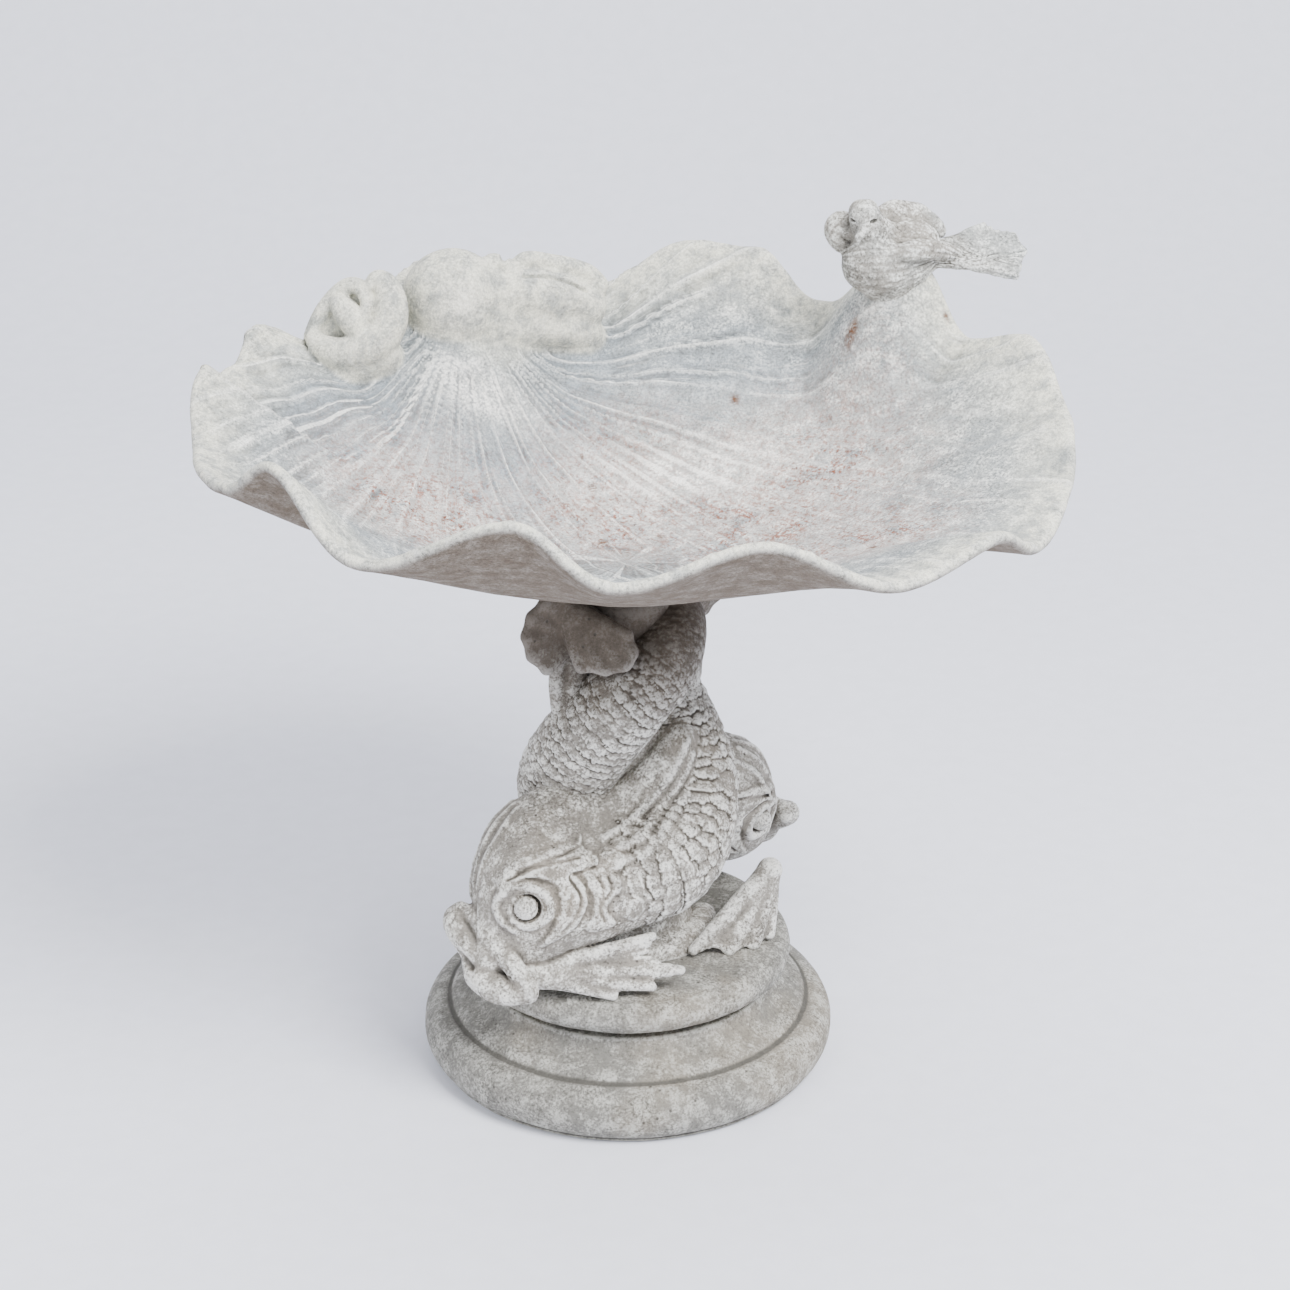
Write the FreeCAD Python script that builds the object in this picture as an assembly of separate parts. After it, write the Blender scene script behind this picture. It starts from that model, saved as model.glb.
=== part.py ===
"""Bird bath: a ruffled shell basin with a bird on its rim, carried by two entwined dolphins.

Millimetres. The origin is on the ground under the column. +X is to the right, +Y to the back, +Z up.
"""
import math
import os

import FreeCAD
import Part
from FreeCAD import Vector

# ---------------------------------------------------------------- driving sizes
# Foot: a moulded ring with a hollow under it
FOOT_RADIUS = 127.0
FOOT_ROLL_HEIGHT = 34.0
FOOT_STEP_RADIUS = 112.0
FOOT_STEP_HEIGHT = 38.0
FOOT_TOP_RADIUS = 90.0
FOOT_TOP = 54.0
FOOT_HOLLOW_RADIUS = 92.0
FOOT_HOLLOW_DEPTH = 16.0
FOOT_HOLLOW_TAPER = 8.0
FOOT_ROLL_TUCK = 7.0
FOOT_ROLL_TOP_IN = 10.0
FOOT_STEP_TAPER = 3.0
FOOT_CURVE_IN = 6.0
FOOT_CURVE_SAG = 2.0

# Mortar joint and upper plinth
JOINT_THICKNESS = 3.0
JOINT_RADIUS = 84.0
PLINTH_ROLL_MIDDLE = 12.1
PLINTH_ROLL_TOP = 20.35
PLINTH_RADIUS = 100.0
PLINTH_NECK_RADIUS = 91.0
PLINTH_TOP_RADIUS = 87.0
PLINTH_HEIGHT = 22.0

# Column: core post with its socket, and the rod that ties the base together
POST_FOOT_RADIUS = 42.0
POST_WAIST_RADIUS = 22.0
POST_WAIST = 170.0
POST_TOP_RADIUS = 27.0
POST_TOP = 306.0
SPIGOT_RADIUS = 15.0
SOCKET_PLAY = 1.0
SOCKET_RADIUS = SPIGOT_RADIUS + SOCKET_PLAY
SOCKET_DEPTH = 66.0
ROD_RADIUS = 6.0
ROD_HOLE_RADIUS = 7.0
ROD_BOTTOM = 1.5
NUT_ACROSS_FLATS = 19.0
NUT_HEIGHT = 10.0
WASHER_RADIUS = 12.0
WASHER_THICKNESS = 2.5
ROD_PAST_NUT = 3.0

# Dolphin body, from the snout to the tail: turn (degrees), distance from the axis, height, thickness
DOLPHIN_SPINE = [
    (229.0, 108.0, 101.0, 15.0),
    (228.0, 94.0, 115.0, 26.0),
    (232.0, 77.0, 129.0, 36.0),
    (244.0, 62.0, 131.0, 40.0),
    (268.0, 48.0, 132.0, 38.0),
    (298.0, 43.0, 137.0, 38.0),
    (328.0, 40.0, 155.0, 37.0),
    (360.0, 36.0, 182.0, 33.0),
    (397.0, 30.0, 214.0, 28.0),
    (442.0, 29.0, 243.0, 25.0),
    (490.0, 29.0, 266.0, 22.0),
    (540.0, 29.0, 283.0, 18.0),
    (582.0, 34.0, 292.0, 13.0),
]
EYE_RADIUS = 8.0
EYE_SUNK = 2.0
EYE_LEAN = 0.35
EYE_RING_RADIUS = 12.0
EYE_RING_THICKNESS = 3.0
LIP_THICKNESS = 7.5
LIP_WIDTH = 21.0
LIP_LIFT = 10.0
LIP_FORWARD = 2.0
LIP_BOW = 13.0
LIP_END_SHARE = 0.6
FIN_THICKNESS = 7.0
FIN_LENGTH = 62.0
FIN_SPREAD = 17.0
FIN_RIBS = 4
FIN_ROOT = (238.0, 80.0, 16.0)
FIN_TIP = (291.0, 71.0, 12.0)
FIN_LEAN = (0.0, 0.75, 0.66)
TAIL_THICKNESS = 12.0
TAIL_LENGTH = 40.0
TAIL_SPREAD = 9.5
TAIL_RIBS = 3
TAIL_LEANS = (-28.0, 34.0)
TAIL_DROOP = 0.4
TAIL_RUNS_TO = 305.0
TAIL_SIDE = 235.0
TAIL_ROOT_BACK = 12.0
TAIL_ROOT_OUT = 2.0
WEB_ROOT_SHARE = 0.2
WEB_CUT = 0.8
WEB_TIP_DROP = 0.12

# Basin: an oval shell with a ruffled rim
BASIN_HALF_WIDTH = 247.0
BASIN_HALF_DEPTH = 197.0
BASIN_FLOOR = 323.0
BASIN_WALL = 7.0
BASIN_FLAT = 0.12
BOWL_CURVE = 1.6
RUFFLE_CURVE = 4.0
RIM_FRONT = 404.0
RIM_BACK = 436.0
BOSS_RADIUS = 34.0
SEAT_THICKNESS = 2.0
RING_PLAY = 1.0
SPIGOT_WALL = 3.0
SPIGOT_BOTTOM = 262.0
SPIGOT_SUNK = 8.0

# Crests and dips of the rim in order round the basin: turn (degrees), reach, height
RUFFLES = [
    (4.0, 1.02, 410.0),
    (21.0, 1.02, 436.0),
    (34.0, 0.98, 424.0),
    (46.0, 1.00, 430.0),
    (61.0, 0.97, 428.0),
    (71.0, 1.00, 455.0),
    (81.0, 1.00, 458.0),
    (95.0, 0.97, 431.0),
    (118.0, 1.00, 444.0),
    (141.0, 0.96, 416.0),
    (151.0, 1.02, 434.0),
    (159.0, 1.00, 419.0),
    (169.0, 1.01, 413.0),
    (187.0, 0.98, 401.0),
    (203.0, 0.99, 404.0),
    (210.0, 1.00, 409.0),
    (220.0, 0.98, 430.0),
    (237.0, 1.02, 394.0),
    (257.0, 1.00, 423.0),
    (269.0, 1.01, 393.0),
    (286.0, 1.00, 411.0),
    (305.0, 1.03, 381.0),
    (321.0, 1.03, 392.0),
    (332.0, 1.03, 374.0),
    (349.0, 1.02, 388.0),
]
RUFFLE_TURN_STEP = 4
RIM_LOOK_BACK = 0.97
NORMAL_STEP = 0.01
ROUND_THE_RIM = 0.7
SHELL_ROWS = [0.0, 0.14, 0.3, 0.46, 0.62, 0.76, 0.88, 0.96, 1.0]

# Lumps that swell out of the shell: position, radius and height of the hinge dome and the perch
DOME_AT = (-104.0, 132.0)
DOME_RADIUS = 72.0
DOME_HEIGHT = 26.0
DOME_BALL_RADIUS = 29.0
DOME_TOP = 467.0
PERCH_AT = (158.0, 127.0)
PERCH_RADIUS = 34.0
PERCH_HEIGHT = 37.0

# Rolled ear left of the dome and ruffled ear right of it
ROLL_AT = (-161.0, 118.0, 431.0)
ROLL_RADIUS = 21.0
ROLL_THICK_START = 15.0
ROLL_THICK_END = 6.0
ROLL_STATIONS = 10
ROLL_START_ANGLE = -70.0
ROLL_SWEEP = 430.0
ROLL_TIGHTEN = 0.62
ROLL_FORWARD = 10.0
EAR_START = (-84.0, 156.0, 452.0)
EAR_END = (-22.0, 170.0, 436.0)
EAR_THICKNESS = 13.0
EAR_HEIGHT = 18.0
EAR_WAVE = 5.0

# Bird, from the forehead to the tail's root: position and thickness
BIRD_SPINE = [
    (142.0, 111.0, 498.0, 4.0),
    (144.0, 115.0, 495.0, 11.0),
    (149.0, 120.0, 485.0, 13.0),
    (154.0, 123.0, 473.0, 19.0),
    (166.0, 126.0, 467.0, 18.0),
    (182.0, 129.0, 468.0, 11.0),
    (196.0, 131.0, 469.0, 6.0),
]
BIRD_BEAK_LENGTH = 10.0
BIRD_BEAK_RADIUS = 4.0
BIRD_BEAK_TIP = 0.8
BIRD_BEAK_OUT = 7.0
BIRD_BEAK_WAY = (-0.35, -0.9, -0.1)
BIRD_TAIL_LENGTH = 52.0
BIRD_TAIL_WAY = (1.0, 0.1, -0.08)
BIRD_TAIL_FACE = (0.1, -0.5, 1.0)
BIRD_TAIL_WIDTH = 15.0
BIRD_TAIL_THICKNESS = 5.0
BIRD_WING_LENGTH = 46.0
BIRD_WING_WIDTH = 20.0
BIRD_WING_THICKNESS = 5.0
NEAR_WING_ROOT = (138.0, 110.0, 474.0)
NEAR_WING_WAY = (1.0, 0.25, 0.0)
NEAR_WING_FACE = (0.1, -0.9, 0.45)
FAR_WING_ROOT = (146.0, 139.0, 482.0)
FAR_WING_WAY = (1.0, 0.1, 0.12)
FAR_WING_FACE = (0.1, 0.9, 0.45)
# Outline of a blade of feathers: share of its length, share of its width
FEATHER_OUTLINE = [(0.0, -0.3), (0.6, -0.5), (0.97, -0.62), (0.88, 0.0), (1.0, 0.6), (0.6, 0.5), (0.0, 0.3)]
BIRD_SEAT = 447.0
BIRD_KNOB_RADIUS = 13.0
BIRD_KNOB_TOP_RADIUS = 10.0
BIRD_KNOB_HEIGHT = 24.0
BIRD_KNOB_SUNK = 9.0
BIRD_AT = (160.0, 126.0)
PIN_RADIUS = 3.0
PIN_UP = 14.0
PIN_DOWN = 10.0

# Heights that follow from the sizes above
PLINTH_BOTTOM = FOOT_TOP + JOINT_THICKNESS
PLINTH_TOP = PLINTH_BOTTOM + PLINTH_HEIGHT
SOCKET_FLOOR = POST_TOP - SOCKET_DEPTH
SEAT_TOP = POST_TOP + SEAT_THICKNESS
RISE = Vector(0, 0, 1)


# ---------------------------------------------------------------- helpers
def round_the_axis(turn, reach, height):
    """The point at a turn, a distance from the axis and a height."""
    angle = math.radians(turn)
    return Vector(reach * math.cos(angle), reach * math.sin(angle), height)


def unit(vector):
    """The same direction, one long."""
    longer = Vector(vector)
    longer.normalize()
    return longer


def cylinder(radius, low, high, at=(0.0, 0.0)):
    """An upright cylinder between two heights."""
    return Part.makeCylinder(radius, high - low, Vector(at[0], at[1], low))


def sausage(centres, thicknesses):
    """A round body that runs through the centres with the given radii."""
    rings = []
    last = len(centres) - 1
    for number, centre in enumerate(centres):
        ahead = centres[min(number + 1, last)]
        behind = centres[max(number - 1, 0)]
        ring = Part.Circle(centre, unit(ahead - behind), thicknesses[number])
        rings.append(Part.Wire([ring.toShape()]))
    return Part.makeLoft(rings, True, False)


def plate(corners, thickness, normal):
    """A flat plate of the given thickness, centred on its outline."""
    half = unit(normal) * (thickness / 2.0)
    outline = [corner - half for corner in corners]
    return Part.Face(Part.makePolygon(outline + [outline[0]])).extrude(half * 2.0)


def joined(pieces):
    """One solid made of overlapping pieces."""
    return pieces[0].multiFuse(pieces[1:]).removeSplitter()


def skin_through(rows, places):
    """A smooth face through rings of points, closed on itself; places says how far along each ring lies."""
    rounds = [float(number) for number in range(len(rows[0]) + 1)]
    ring_curves = []
    for row in rows:
        curve = Part.BSplineCurve()
        curve.interpolate(Points=row, Parameters=rounds, PeriodicFlag=True)
        ring_curves.append(curve)
    ring_poles = [curve.getPoles() for curve in ring_curves]
    grid = []
    for column in zip(*ring_poles):
        curve = Part.BSplineCurve()
        curve.interpolate(Points=list(column), Parameters=places)
        grid.append(curve.getPoles())
        along = curve
    rows_of_poles = [list(row) for row in zip(*grid)]
    around = ring_curves[0]
    skin = Part.BSplineSurface()
    skin.buildFromPolesMultsKnots(rows_of_poles, along.getMultiplicities(), around.getMultiplicities(),
                                  along.getKnots(), around.getKnots(), False, True,
                                  along.Degree, around.Degree)
    return skin.toShape()


def half_turn(shape):
    """The same shape, turned half round the axis."""
    turned = shape.copy()
    turned.rotate(Vector(0, 0, 0), RISE, 180.0)
    return turned


# ---------------------------------------------------------------- base
def foot():
    """The bottom ring: a heavy roll, a step and a hollow curve up to its flat top."""
    points = [
        Vector(FOOT_HOLLOW_RADIUS, 0, 0),
        Vector(FOOT_RADIUS - FOOT_ROLL_TUCK, 0, 0),
        Vector(FOOT_RADIUS, 0, FOOT_ROLL_HEIGHT / 2.0),
        Vector(FOOT_RADIUS - FOOT_ROLL_TOP_IN, 0, FOOT_ROLL_HEIGHT),
        Vector(FOOT_STEP_RADIUS, 0, FOOT_ROLL_HEIGHT),
        Vector(FOOT_STEP_RADIUS - FOOT_STEP_TAPER, 0, FOOT_STEP_HEIGHT),
        Vector(FOOT_TOP_RADIUS + FOOT_CURVE_IN, 0, (FOOT_STEP_HEIGHT + FOOT_TOP) / 2.0 - FOOT_CURVE_SAG),
        Vector(FOOT_TOP_RADIUS, 0, FOOT_TOP),
        Vector(ROD_HOLE_RADIUS, 0, FOOT_TOP),
        Vector(ROD_HOLE_RADIUS, 0, FOOT_HOLLOW_DEPTH),
        Vector(FOOT_HOLLOW_RADIUS - FOOT_HOLLOW_TAPER, 0, FOOT_HOLLOW_DEPTH),
    ]
    edges = [
        Part.makeLine(points[0], points[1]),
        Part.Arc(points[1], points[2], points[3]).toShape(),
        Part.makeLine(points[3], points[4]),
        Part.makeLine(points[4], points[5]),
        Part.Arc(points[5], points[6], points[7]).toShape(),
        Part.makeLine(points[7], points[8]),
        Part.makeLine(points[8], points[9]),
        Part.makeLine(points[9], points[10]),
        Part.makeLine(points[10], points[0]),
    ]
    return Part.Face(Part.Wire(edges)).revolve(Vector(0, 0, 0), RISE, 360.0)


def mortar_bed():
    """The thin joint between the foot and the plinth."""
    bed = cylinder(JOINT_RADIUS, FOOT_TOP, PLINTH_BOTTOM)
    return bed.cut(cylinder(ROD_HOLE_RADIUS, FOOT_TOP, PLINTH_BOTTOM))


def plinth():
    """The upper base: a round roll over a neck, with the ledge the dolphins lie on."""
    points = [
        Vector(ROD_HOLE_RADIUS, 0, PLINTH_BOTTOM),
        Vector(PLINTH_NECK_RADIUS, 0, PLINTH_BOTTOM),
        Vector(PLINTH_RADIUS, 0, PLINTH_BOTTOM + PLINTH_ROLL_MIDDLE),
        Vector(PLINTH_NECK_RADIUS, 0, PLINTH_BOTTOM + PLINTH_ROLL_TOP),
        Vector(PLINTH_TOP_RADIUS, 0, PLINTH_TOP),
        Vector(ROD_HOLE_RADIUS, 0, PLINTH_TOP),
    ]
    edges = [
        Part.makeLine(points[0], points[1]),
        Part.Arc(points[1], points[2], points[3]).toShape(),
        Part.makeLine(points[3], points[4]),
        Part.makeLine(points[4], points[5]),
        Part.makeLine(points[5], points[0]),
    ]
    return Part.Face(Part.Wire(edges)).revolve(Vector(0, 0, 0), RISE, 360.0)


def post_blank():
    """The outside of the core post: a wide foot, a waist inside the coils and a wider top."""
    ledge = Vector(0, 0, PLINTH_TOP)
    waist = Vector(0, 0, POST_WAIST)
    lower = Part.makeCone(POST_FOOT_RADIUS, POST_WAIST_RADIUS, POST_WAIST - PLINTH_TOP, ledge)
    upper = Part.makeCone(POST_WAIST_RADIUS, POST_TOP_RADIUS, POST_TOP - POST_WAIST, waist)
    return lower.fuse(upper)


def core_post():
    """The post inside the column, bored for the tie rod and open at the top for the basin's spigot."""
    post = post_blank().cut(cylinder(ROD_HOLE_RADIUS, PLINTH_TOP, POST_TOP))
    return post.cut(cylinder(SOCKET_RADIUS, SOCKET_FLOOR, POST_TOP))


def rod_top():
    """Height of the tie rod's upper end."""
    return SOCKET_FLOOR + WASHER_THICKNESS + NUT_HEIGHT + ROD_PAST_NUT


def tie_rod():
    """The threaded rod that holds foot, plinth and post together."""
    return cylinder(ROD_RADIUS, ROD_BOTTOM, rod_top())


def tie_rod_washers():
    """One washer under the foot and one in the socket."""
    washers = []
    for low in (FOOT_HOLLOW_DEPTH - WASHER_THICKNESS, SOCKET_FLOOR):
        washer = cylinder(WASHER_RADIUS, low, low + WASHER_THICKNESS)
        washers.append(washer.cut(cylinder(ROD_RADIUS, low, low + WASHER_THICKNESS)))
    return Part.makeCompound(washers)


def hexagon_nut(low):
    """A nut on the tie rod with its lower face at the given height."""
    corner = NUT_ACROSS_FLATS / math.sqrt(3.0)
    corners = [round_the_axis(60.0 * side, corner, low) for side in range(6)]
    blank = Part.Face(Part.makePolygon(corners + [corners[0]])).extrude(Vector(0, 0, NUT_HEIGHT))
    return blank.cut(cylinder(ROD_RADIUS, low, low + NUT_HEIGHT))


def tie_rod_nuts():
    """One nut under the foot and one in the socket."""
    lower = hexagon_nut(FOOT_HOLLOW_DEPTH - WASHER_THICKNESS - NUT_HEIGHT)
    upper = hexagon_nut(SOCKET_FLOOR + WASHER_THICKNESS)
    return Part.makeCompound([lower, upper])


# ---------------------------------------------------------------- dolphins
def dolphin_body():
    """Head and tapering body in one, wound once round the post."""
    centres = [round_the_axis(turn, reach, height) for turn, reach, height, thick in DOLPHIN_SPINE]
    return sausage(centres, [station[3] for station in DOLPHIN_SPINE])


def head_frame():
    """Middle of the head, the way the snout points, the way the forehead faces and its open side."""
    middle = round_the_axis(*DOLPHIN_SPINE[2][:3])
    forward = unit(round_the_axis(*DOLPHIN_SPINE[0][:3]) - middle)
    side = unit(forward.cross(RISE))
    return middle, forward, unit(side.cross(forward)), side


def eyes():
    """A round eye in a raised ring on each side of the head."""
    middle, forward, up, side = head_frame()
    pieces = []
    for hand in (-1.0, 1.0):
        outward = unit(side * hand + up * EYE_LEAN)
        at = middle + outward * (DOLPHIN_SPINE[2][3] - EYE_SUNK)
        pieces.append(Part.makeSphere(EYE_RADIUS, at))
        pieces.append(Part.makeTorus(EYE_RING_RADIUS, EYE_RING_THICKNESS, at, outward))
    return pieces


def lips():
    """Thick upper and lower lips rolled across the end of the snout."""
    middle, forward, up, side = head_frame()
    mouth = round_the_axis(*DOLPHIN_SPINE[0][:3])
    pieces = []
    for lift in (LIP_LIFT, -LIP_LIFT):
        bow = []
        for step in (-1.0, -0.5, 0.0, 0.5, 1.0):
            back = LIP_BOW * step * step - LIP_FORWARD
            bow.append(mouth + side * (LIP_WIDTH * step) + up * lift - forward * back)
        end = LIP_THICKNESS * LIP_END_SHARE
        pieces.append(sausage(bow, [end, LIP_THICKNESS, LIP_THICKNESS, LIP_THICKNESS, end]))
    return pieces


def webbed_fan(root, along, across, normal, length, spread, ribs, thickness):
    """A fan of ribs with the web cut back between their tips."""
    corners = [root - across * (spread * WEB_ROOT_SHARE)]
    for rib in range(ribs):
        lean = 2.0 * rib / (ribs - 1.0) - 1.0
        corners.append(root + along * length * (1.0 - WEB_TIP_DROP * abs(lean)) + across * spread * lean)
        if rib < ribs - 1:
            between = lean + 1.0 / (ribs - 1.0)
            corners.append(root + along * length * WEB_CUT + across * spread * between)
    corners.append(root + across * (spread * WEB_ROOT_SHARE))
    return plate(corners, thickness, normal)


def breast_fin():
    """The webbed fin that lies along the ledge of the plinth."""
    root = round_the_axis(FIN_ROOT[0], FIN_ROOT[1], PLINTH_TOP + FIN_ROOT[2])
    tip = round_the_axis(FIN_TIP[0], FIN_TIP[1], PLINTH_TOP + FIN_TIP[2])
    along = unit(tip - root)
    lean = Vector(*FIN_LEAN)
    across = unit(lean - along * lean.dot(along))
    normal = along.cross(across)
    return webbed_fan(root, along, across, normal, FIN_LENGTH, FIN_SPREAD, FIN_RIBS, FIN_THICKNESS)


def tail_fan():
    """The two lobes of the tail, spread beside the post under the basin."""
    root = round_the_axis(*DOLPHIN_SPINE[-1][:3])
    pieces = []
    for lean in TAIL_LEANS:
        droop = RISE * (-TAIL_DROOP * math.sin(math.radians(lean)))
        along = unit(round_the_axis(TAIL_RUNS_TO, 1.0, 0.0) + droop)
        outward = round_the_axis(TAIL_SIDE, 1.0, 0.0)
        across = unit(RISE - along * RISE.dot(along))
        start = root - along * TAIL_ROOT_BACK + outward * TAIL_ROOT_OUT
        pieces.append(webbed_fan(start, along, across, along.cross(across), TAIL_LENGTH,
                                 TAIL_SPREAD, TAIL_RIBS, TAIL_THICKNESS))
    return pieces


def dolphin_whole():
    """One dolphin before it is fitted round the post."""
    pieces = [dolphin_body(), breast_fin()] + eyes() + lips() + tail_fan()
    return joined(pieces)


def fitted(dolphin):
    """A dolphin cut to sit on the plinth's ledge and against the post."""
    below = cylinder(FOOT_RADIUS * 2.0, 0.0, PLINTH_TOP)
    return dolphin.cut(below).cut(post_blank())


# ---------------------------------------------------------------- basin
def rim_at(turn):
    """Reach and height of the rim at a turn, easing from each crest to the next dip."""
    turn = turn % 360.0
    ring = [RUFFLES[-1]] + RUFFLES + [RUFFLES[0]]
    ring[0] = (ring[0][0] - 360.0, ring[0][1], ring[0][2])
    ring[-1] = (ring[-1][0] + 360.0, ring[-1][1], ring[-1][2])
    for before, after in zip(ring, ring[1:]):
        if before[0] <= turn <= after[0]:
            share = (turn - before[0]) / (after[0] - before[0])
            ease = (1.0 - math.cos(math.pi * share)) / 2.0
            return before[1] + (after[1] - before[1]) * ease, before[2] + (after[2] - before[2]) * ease
    raise ValueError("turn outside the rim")


def swelling(x, y, at, radius, height):
    """Height of a smooth round lump over a point."""
    away = math.hypot(x - at[0], y - at[1]) / radius
    return height * (1.0 - away * away) ** 2 if away < 1.0 else 0.0


def shell_point(turn, share):
    """A point on the basin's upper face: share 0 is the edge of the flat floor, 1 the rim."""
    reach, height = rim_at(turn)
    out = (BASIN_FLAT + (1.0 - BASIN_FLAT) * share) * (1.0 + (reach - 1.0) * share ** RUFFLE_CURVE)
    angle = math.radians(turn)
    x = BASIN_HALF_WIDTH * out * math.cos(angle)
    y = BASIN_HALF_DEPTH * out * math.sin(angle)
    even = (RIM_FRONT + RIM_BACK) / 2.0 + (RIM_BACK - RIM_FRONT) / 2.0 * math.sin(angle)
    z = BASIN_FLOOR + (even - BASIN_FLOOR) * share ** BOWL_CURVE
    z += (height - even) * share ** RUFFLE_CURVE
    z += swelling(x, y, DOME_AT, DOME_RADIUS, DOME_HEIGHT)
    z += swelling(x, y, PERCH_AT, PERCH_RADIUS, PERCH_HEIGHT)
    return Vector(x, y, z)


def shell_normal(turn, share):
    """The way the basin's upper face looks at a point."""
    if share == 0.0:
        return Vector(0, 0, 1)
    outward = shell_point(turn, share) - shell_point(turn, share - NORMAL_STEP)
    onward = shell_point(turn + 1.0, share) - shell_point(turn - 1.0, share)
    return unit(outward.cross(onward))


def shell():
    """The thin shell itself: upper face, rounded rim and under face, closed by two floor discs."""
    turns = range(0, 360, RUFFLE_TURN_STEP)
    run = (BASIN_HALF_WIDTH + BASIN_HALF_DEPTH) / 2.0
    rows = []
    places = []
    for share in SHELL_ROWS:
        rows.append([shell_point(turn, share) for turn in turns])
        places.append(share * run)
    rim = []
    for turn in turns:
        edge = shell_point(turn, 1.0)
        outward = unit(edge - shell_point(turn, RIM_LOOK_BACK))
        rim.append(edge + (outward - shell_normal(turn, 1.0)) * (BASIN_WALL / 2.0))
    rows.append(rim)
    places.append(run + BASIN_WALL * ROUND_THE_RIM)
    for share in reversed(SHELL_ROWS):
        rows.append([shell_point(turn, share) - shell_normal(turn, share) * BASIN_WALL for turn in turns])
        places.append(run * (2.0 - share) + BASIN_WALL * 2.0 * ROUND_THE_RIM)
    side = skin_through(rows, places)
    rings = [edge for edge in side.Edges if edge.BoundBox.XLength < BASIN_HALF_WIDTH and edge.isClosed()]
    floors = [Part.Face(Part.Wire([ring])) for ring in rings]
    closed = Part.Solid(Part.Shell([side] + floors))
    closed.fix(1e-4, 1e-4, 1e-3)
    return closed


def rolled_ear():
    """The ear left of the dome, rolled up like a horn."""
    centres = []
    thicknesses = []
    for step in range(ROLL_STATIONS + 1):
        share = step / ROLL_STATIONS
        angle = math.radians(ROLL_START_ANGLE + ROLL_SWEEP * share)
        radius = ROLL_RADIUS * (1.0 - ROLL_TIGHTEN * share)
        centres.append(Vector(ROLL_AT[0] + radius * math.cos(angle),
                              ROLL_AT[1] - ROLL_FORWARD * share,
                              ROLL_AT[2] + radius * math.sin(angle)))
        thicknesses.append(ROLL_THICK_START + (ROLL_THICK_END - ROLL_THICK_START) * share)
    return sausage(centres, thicknesses)


def ruffled_ear():
    """The ear right of the dome: a short wavy wall."""
    start = Vector(*EAR_START)
    run = Vector(*EAR_END) - start
    across = unit(run.cross(RISE))
    sections = []
    for step in range(5):
        share = step / 4.0
        middle = start + run * share + across * (EAR_WAVE * math.sin(share * 2.0 * math.pi))
        oval = Part.Ellipse(Vector(0, 0, 0), EAR_HEIGHT, EAR_THICKNESS / 2.0)
        ring = oval.toShape()
        ring.Placement = FreeCAD.Placement(middle, FreeCAD.Rotation(RISE, across, unit(run), "XYZ"))
        sections.append(Part.Wire([ring]))
    return Part.makeLoft(sections, True, False)


def basin():
    """The shell with its ears and the boss that stands on the post."""
    boss = cylinder(BOSS_RADIUS, SEAT_TOP, BASIN_FLOOR - BASIN_WALL / 2.0)
    dome = Part.makeSphere(DOME_BALL_RADIUS, Vector(DOME_AT[0], DOME_AT[1], DOME_TOP - DOME_BALL_RADIUS))
    whole = joined([shell(), boss, dome, rolled_ear(), ruffled_ear()])
    whole = whole.cut(cylinder(SPIGOT_RADIUS, SEAT_TOP, SEAT_TOP + SPIGOT_SUNK))
    return whole.cut(bird_pin_hole())


def seat_ring():
    """The loose washer between the post and the basin."""
    ring = cylinder(POST_TOP_RADIUS - RING_PLAY, POST_TOP, SEAT_TOP)
    return ring.cut(cylinder(SOCKET_RADIUS + RING_PLAY, POST_TOP, SEAT_TOP))


def basin_spigot():
    """The steel tube under the basin that drops into the post's socket."""
    top = SEAT_TOP + SPIGOT_SUNK
    tube = cylinder(SPIGOT_RADIUS, SPIGOT_BOTTOM, top)
    return tube.cut(cylinder(SPIGOT_RADIUS - SPIGOT_WALL, SPIGOT_BOTTOM, top))


# ---------------------------------------------------------------- bird
def bird_pin_hole():
    """The upright hole that holds the bird's pin."""
    return cylinder(PIN_RADIUS, BIRD_SEAT - PIN_DOWN, BIRD_SEAT + PIN_UP, BIRD_AT)


def feathered(root, along, normal, length, width, thickness):
    """A long blade of feathers that widens from its root."""
    across = unit(unit(along).cross(unit(normal)))
    ahead = unit(along)
    corners = [root + ahead * (length * far) + across * (width * aside) for far, aside in FEATHER_OUTLINE]
    return plate(corners, thickness, across.cross(ahead))


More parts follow.
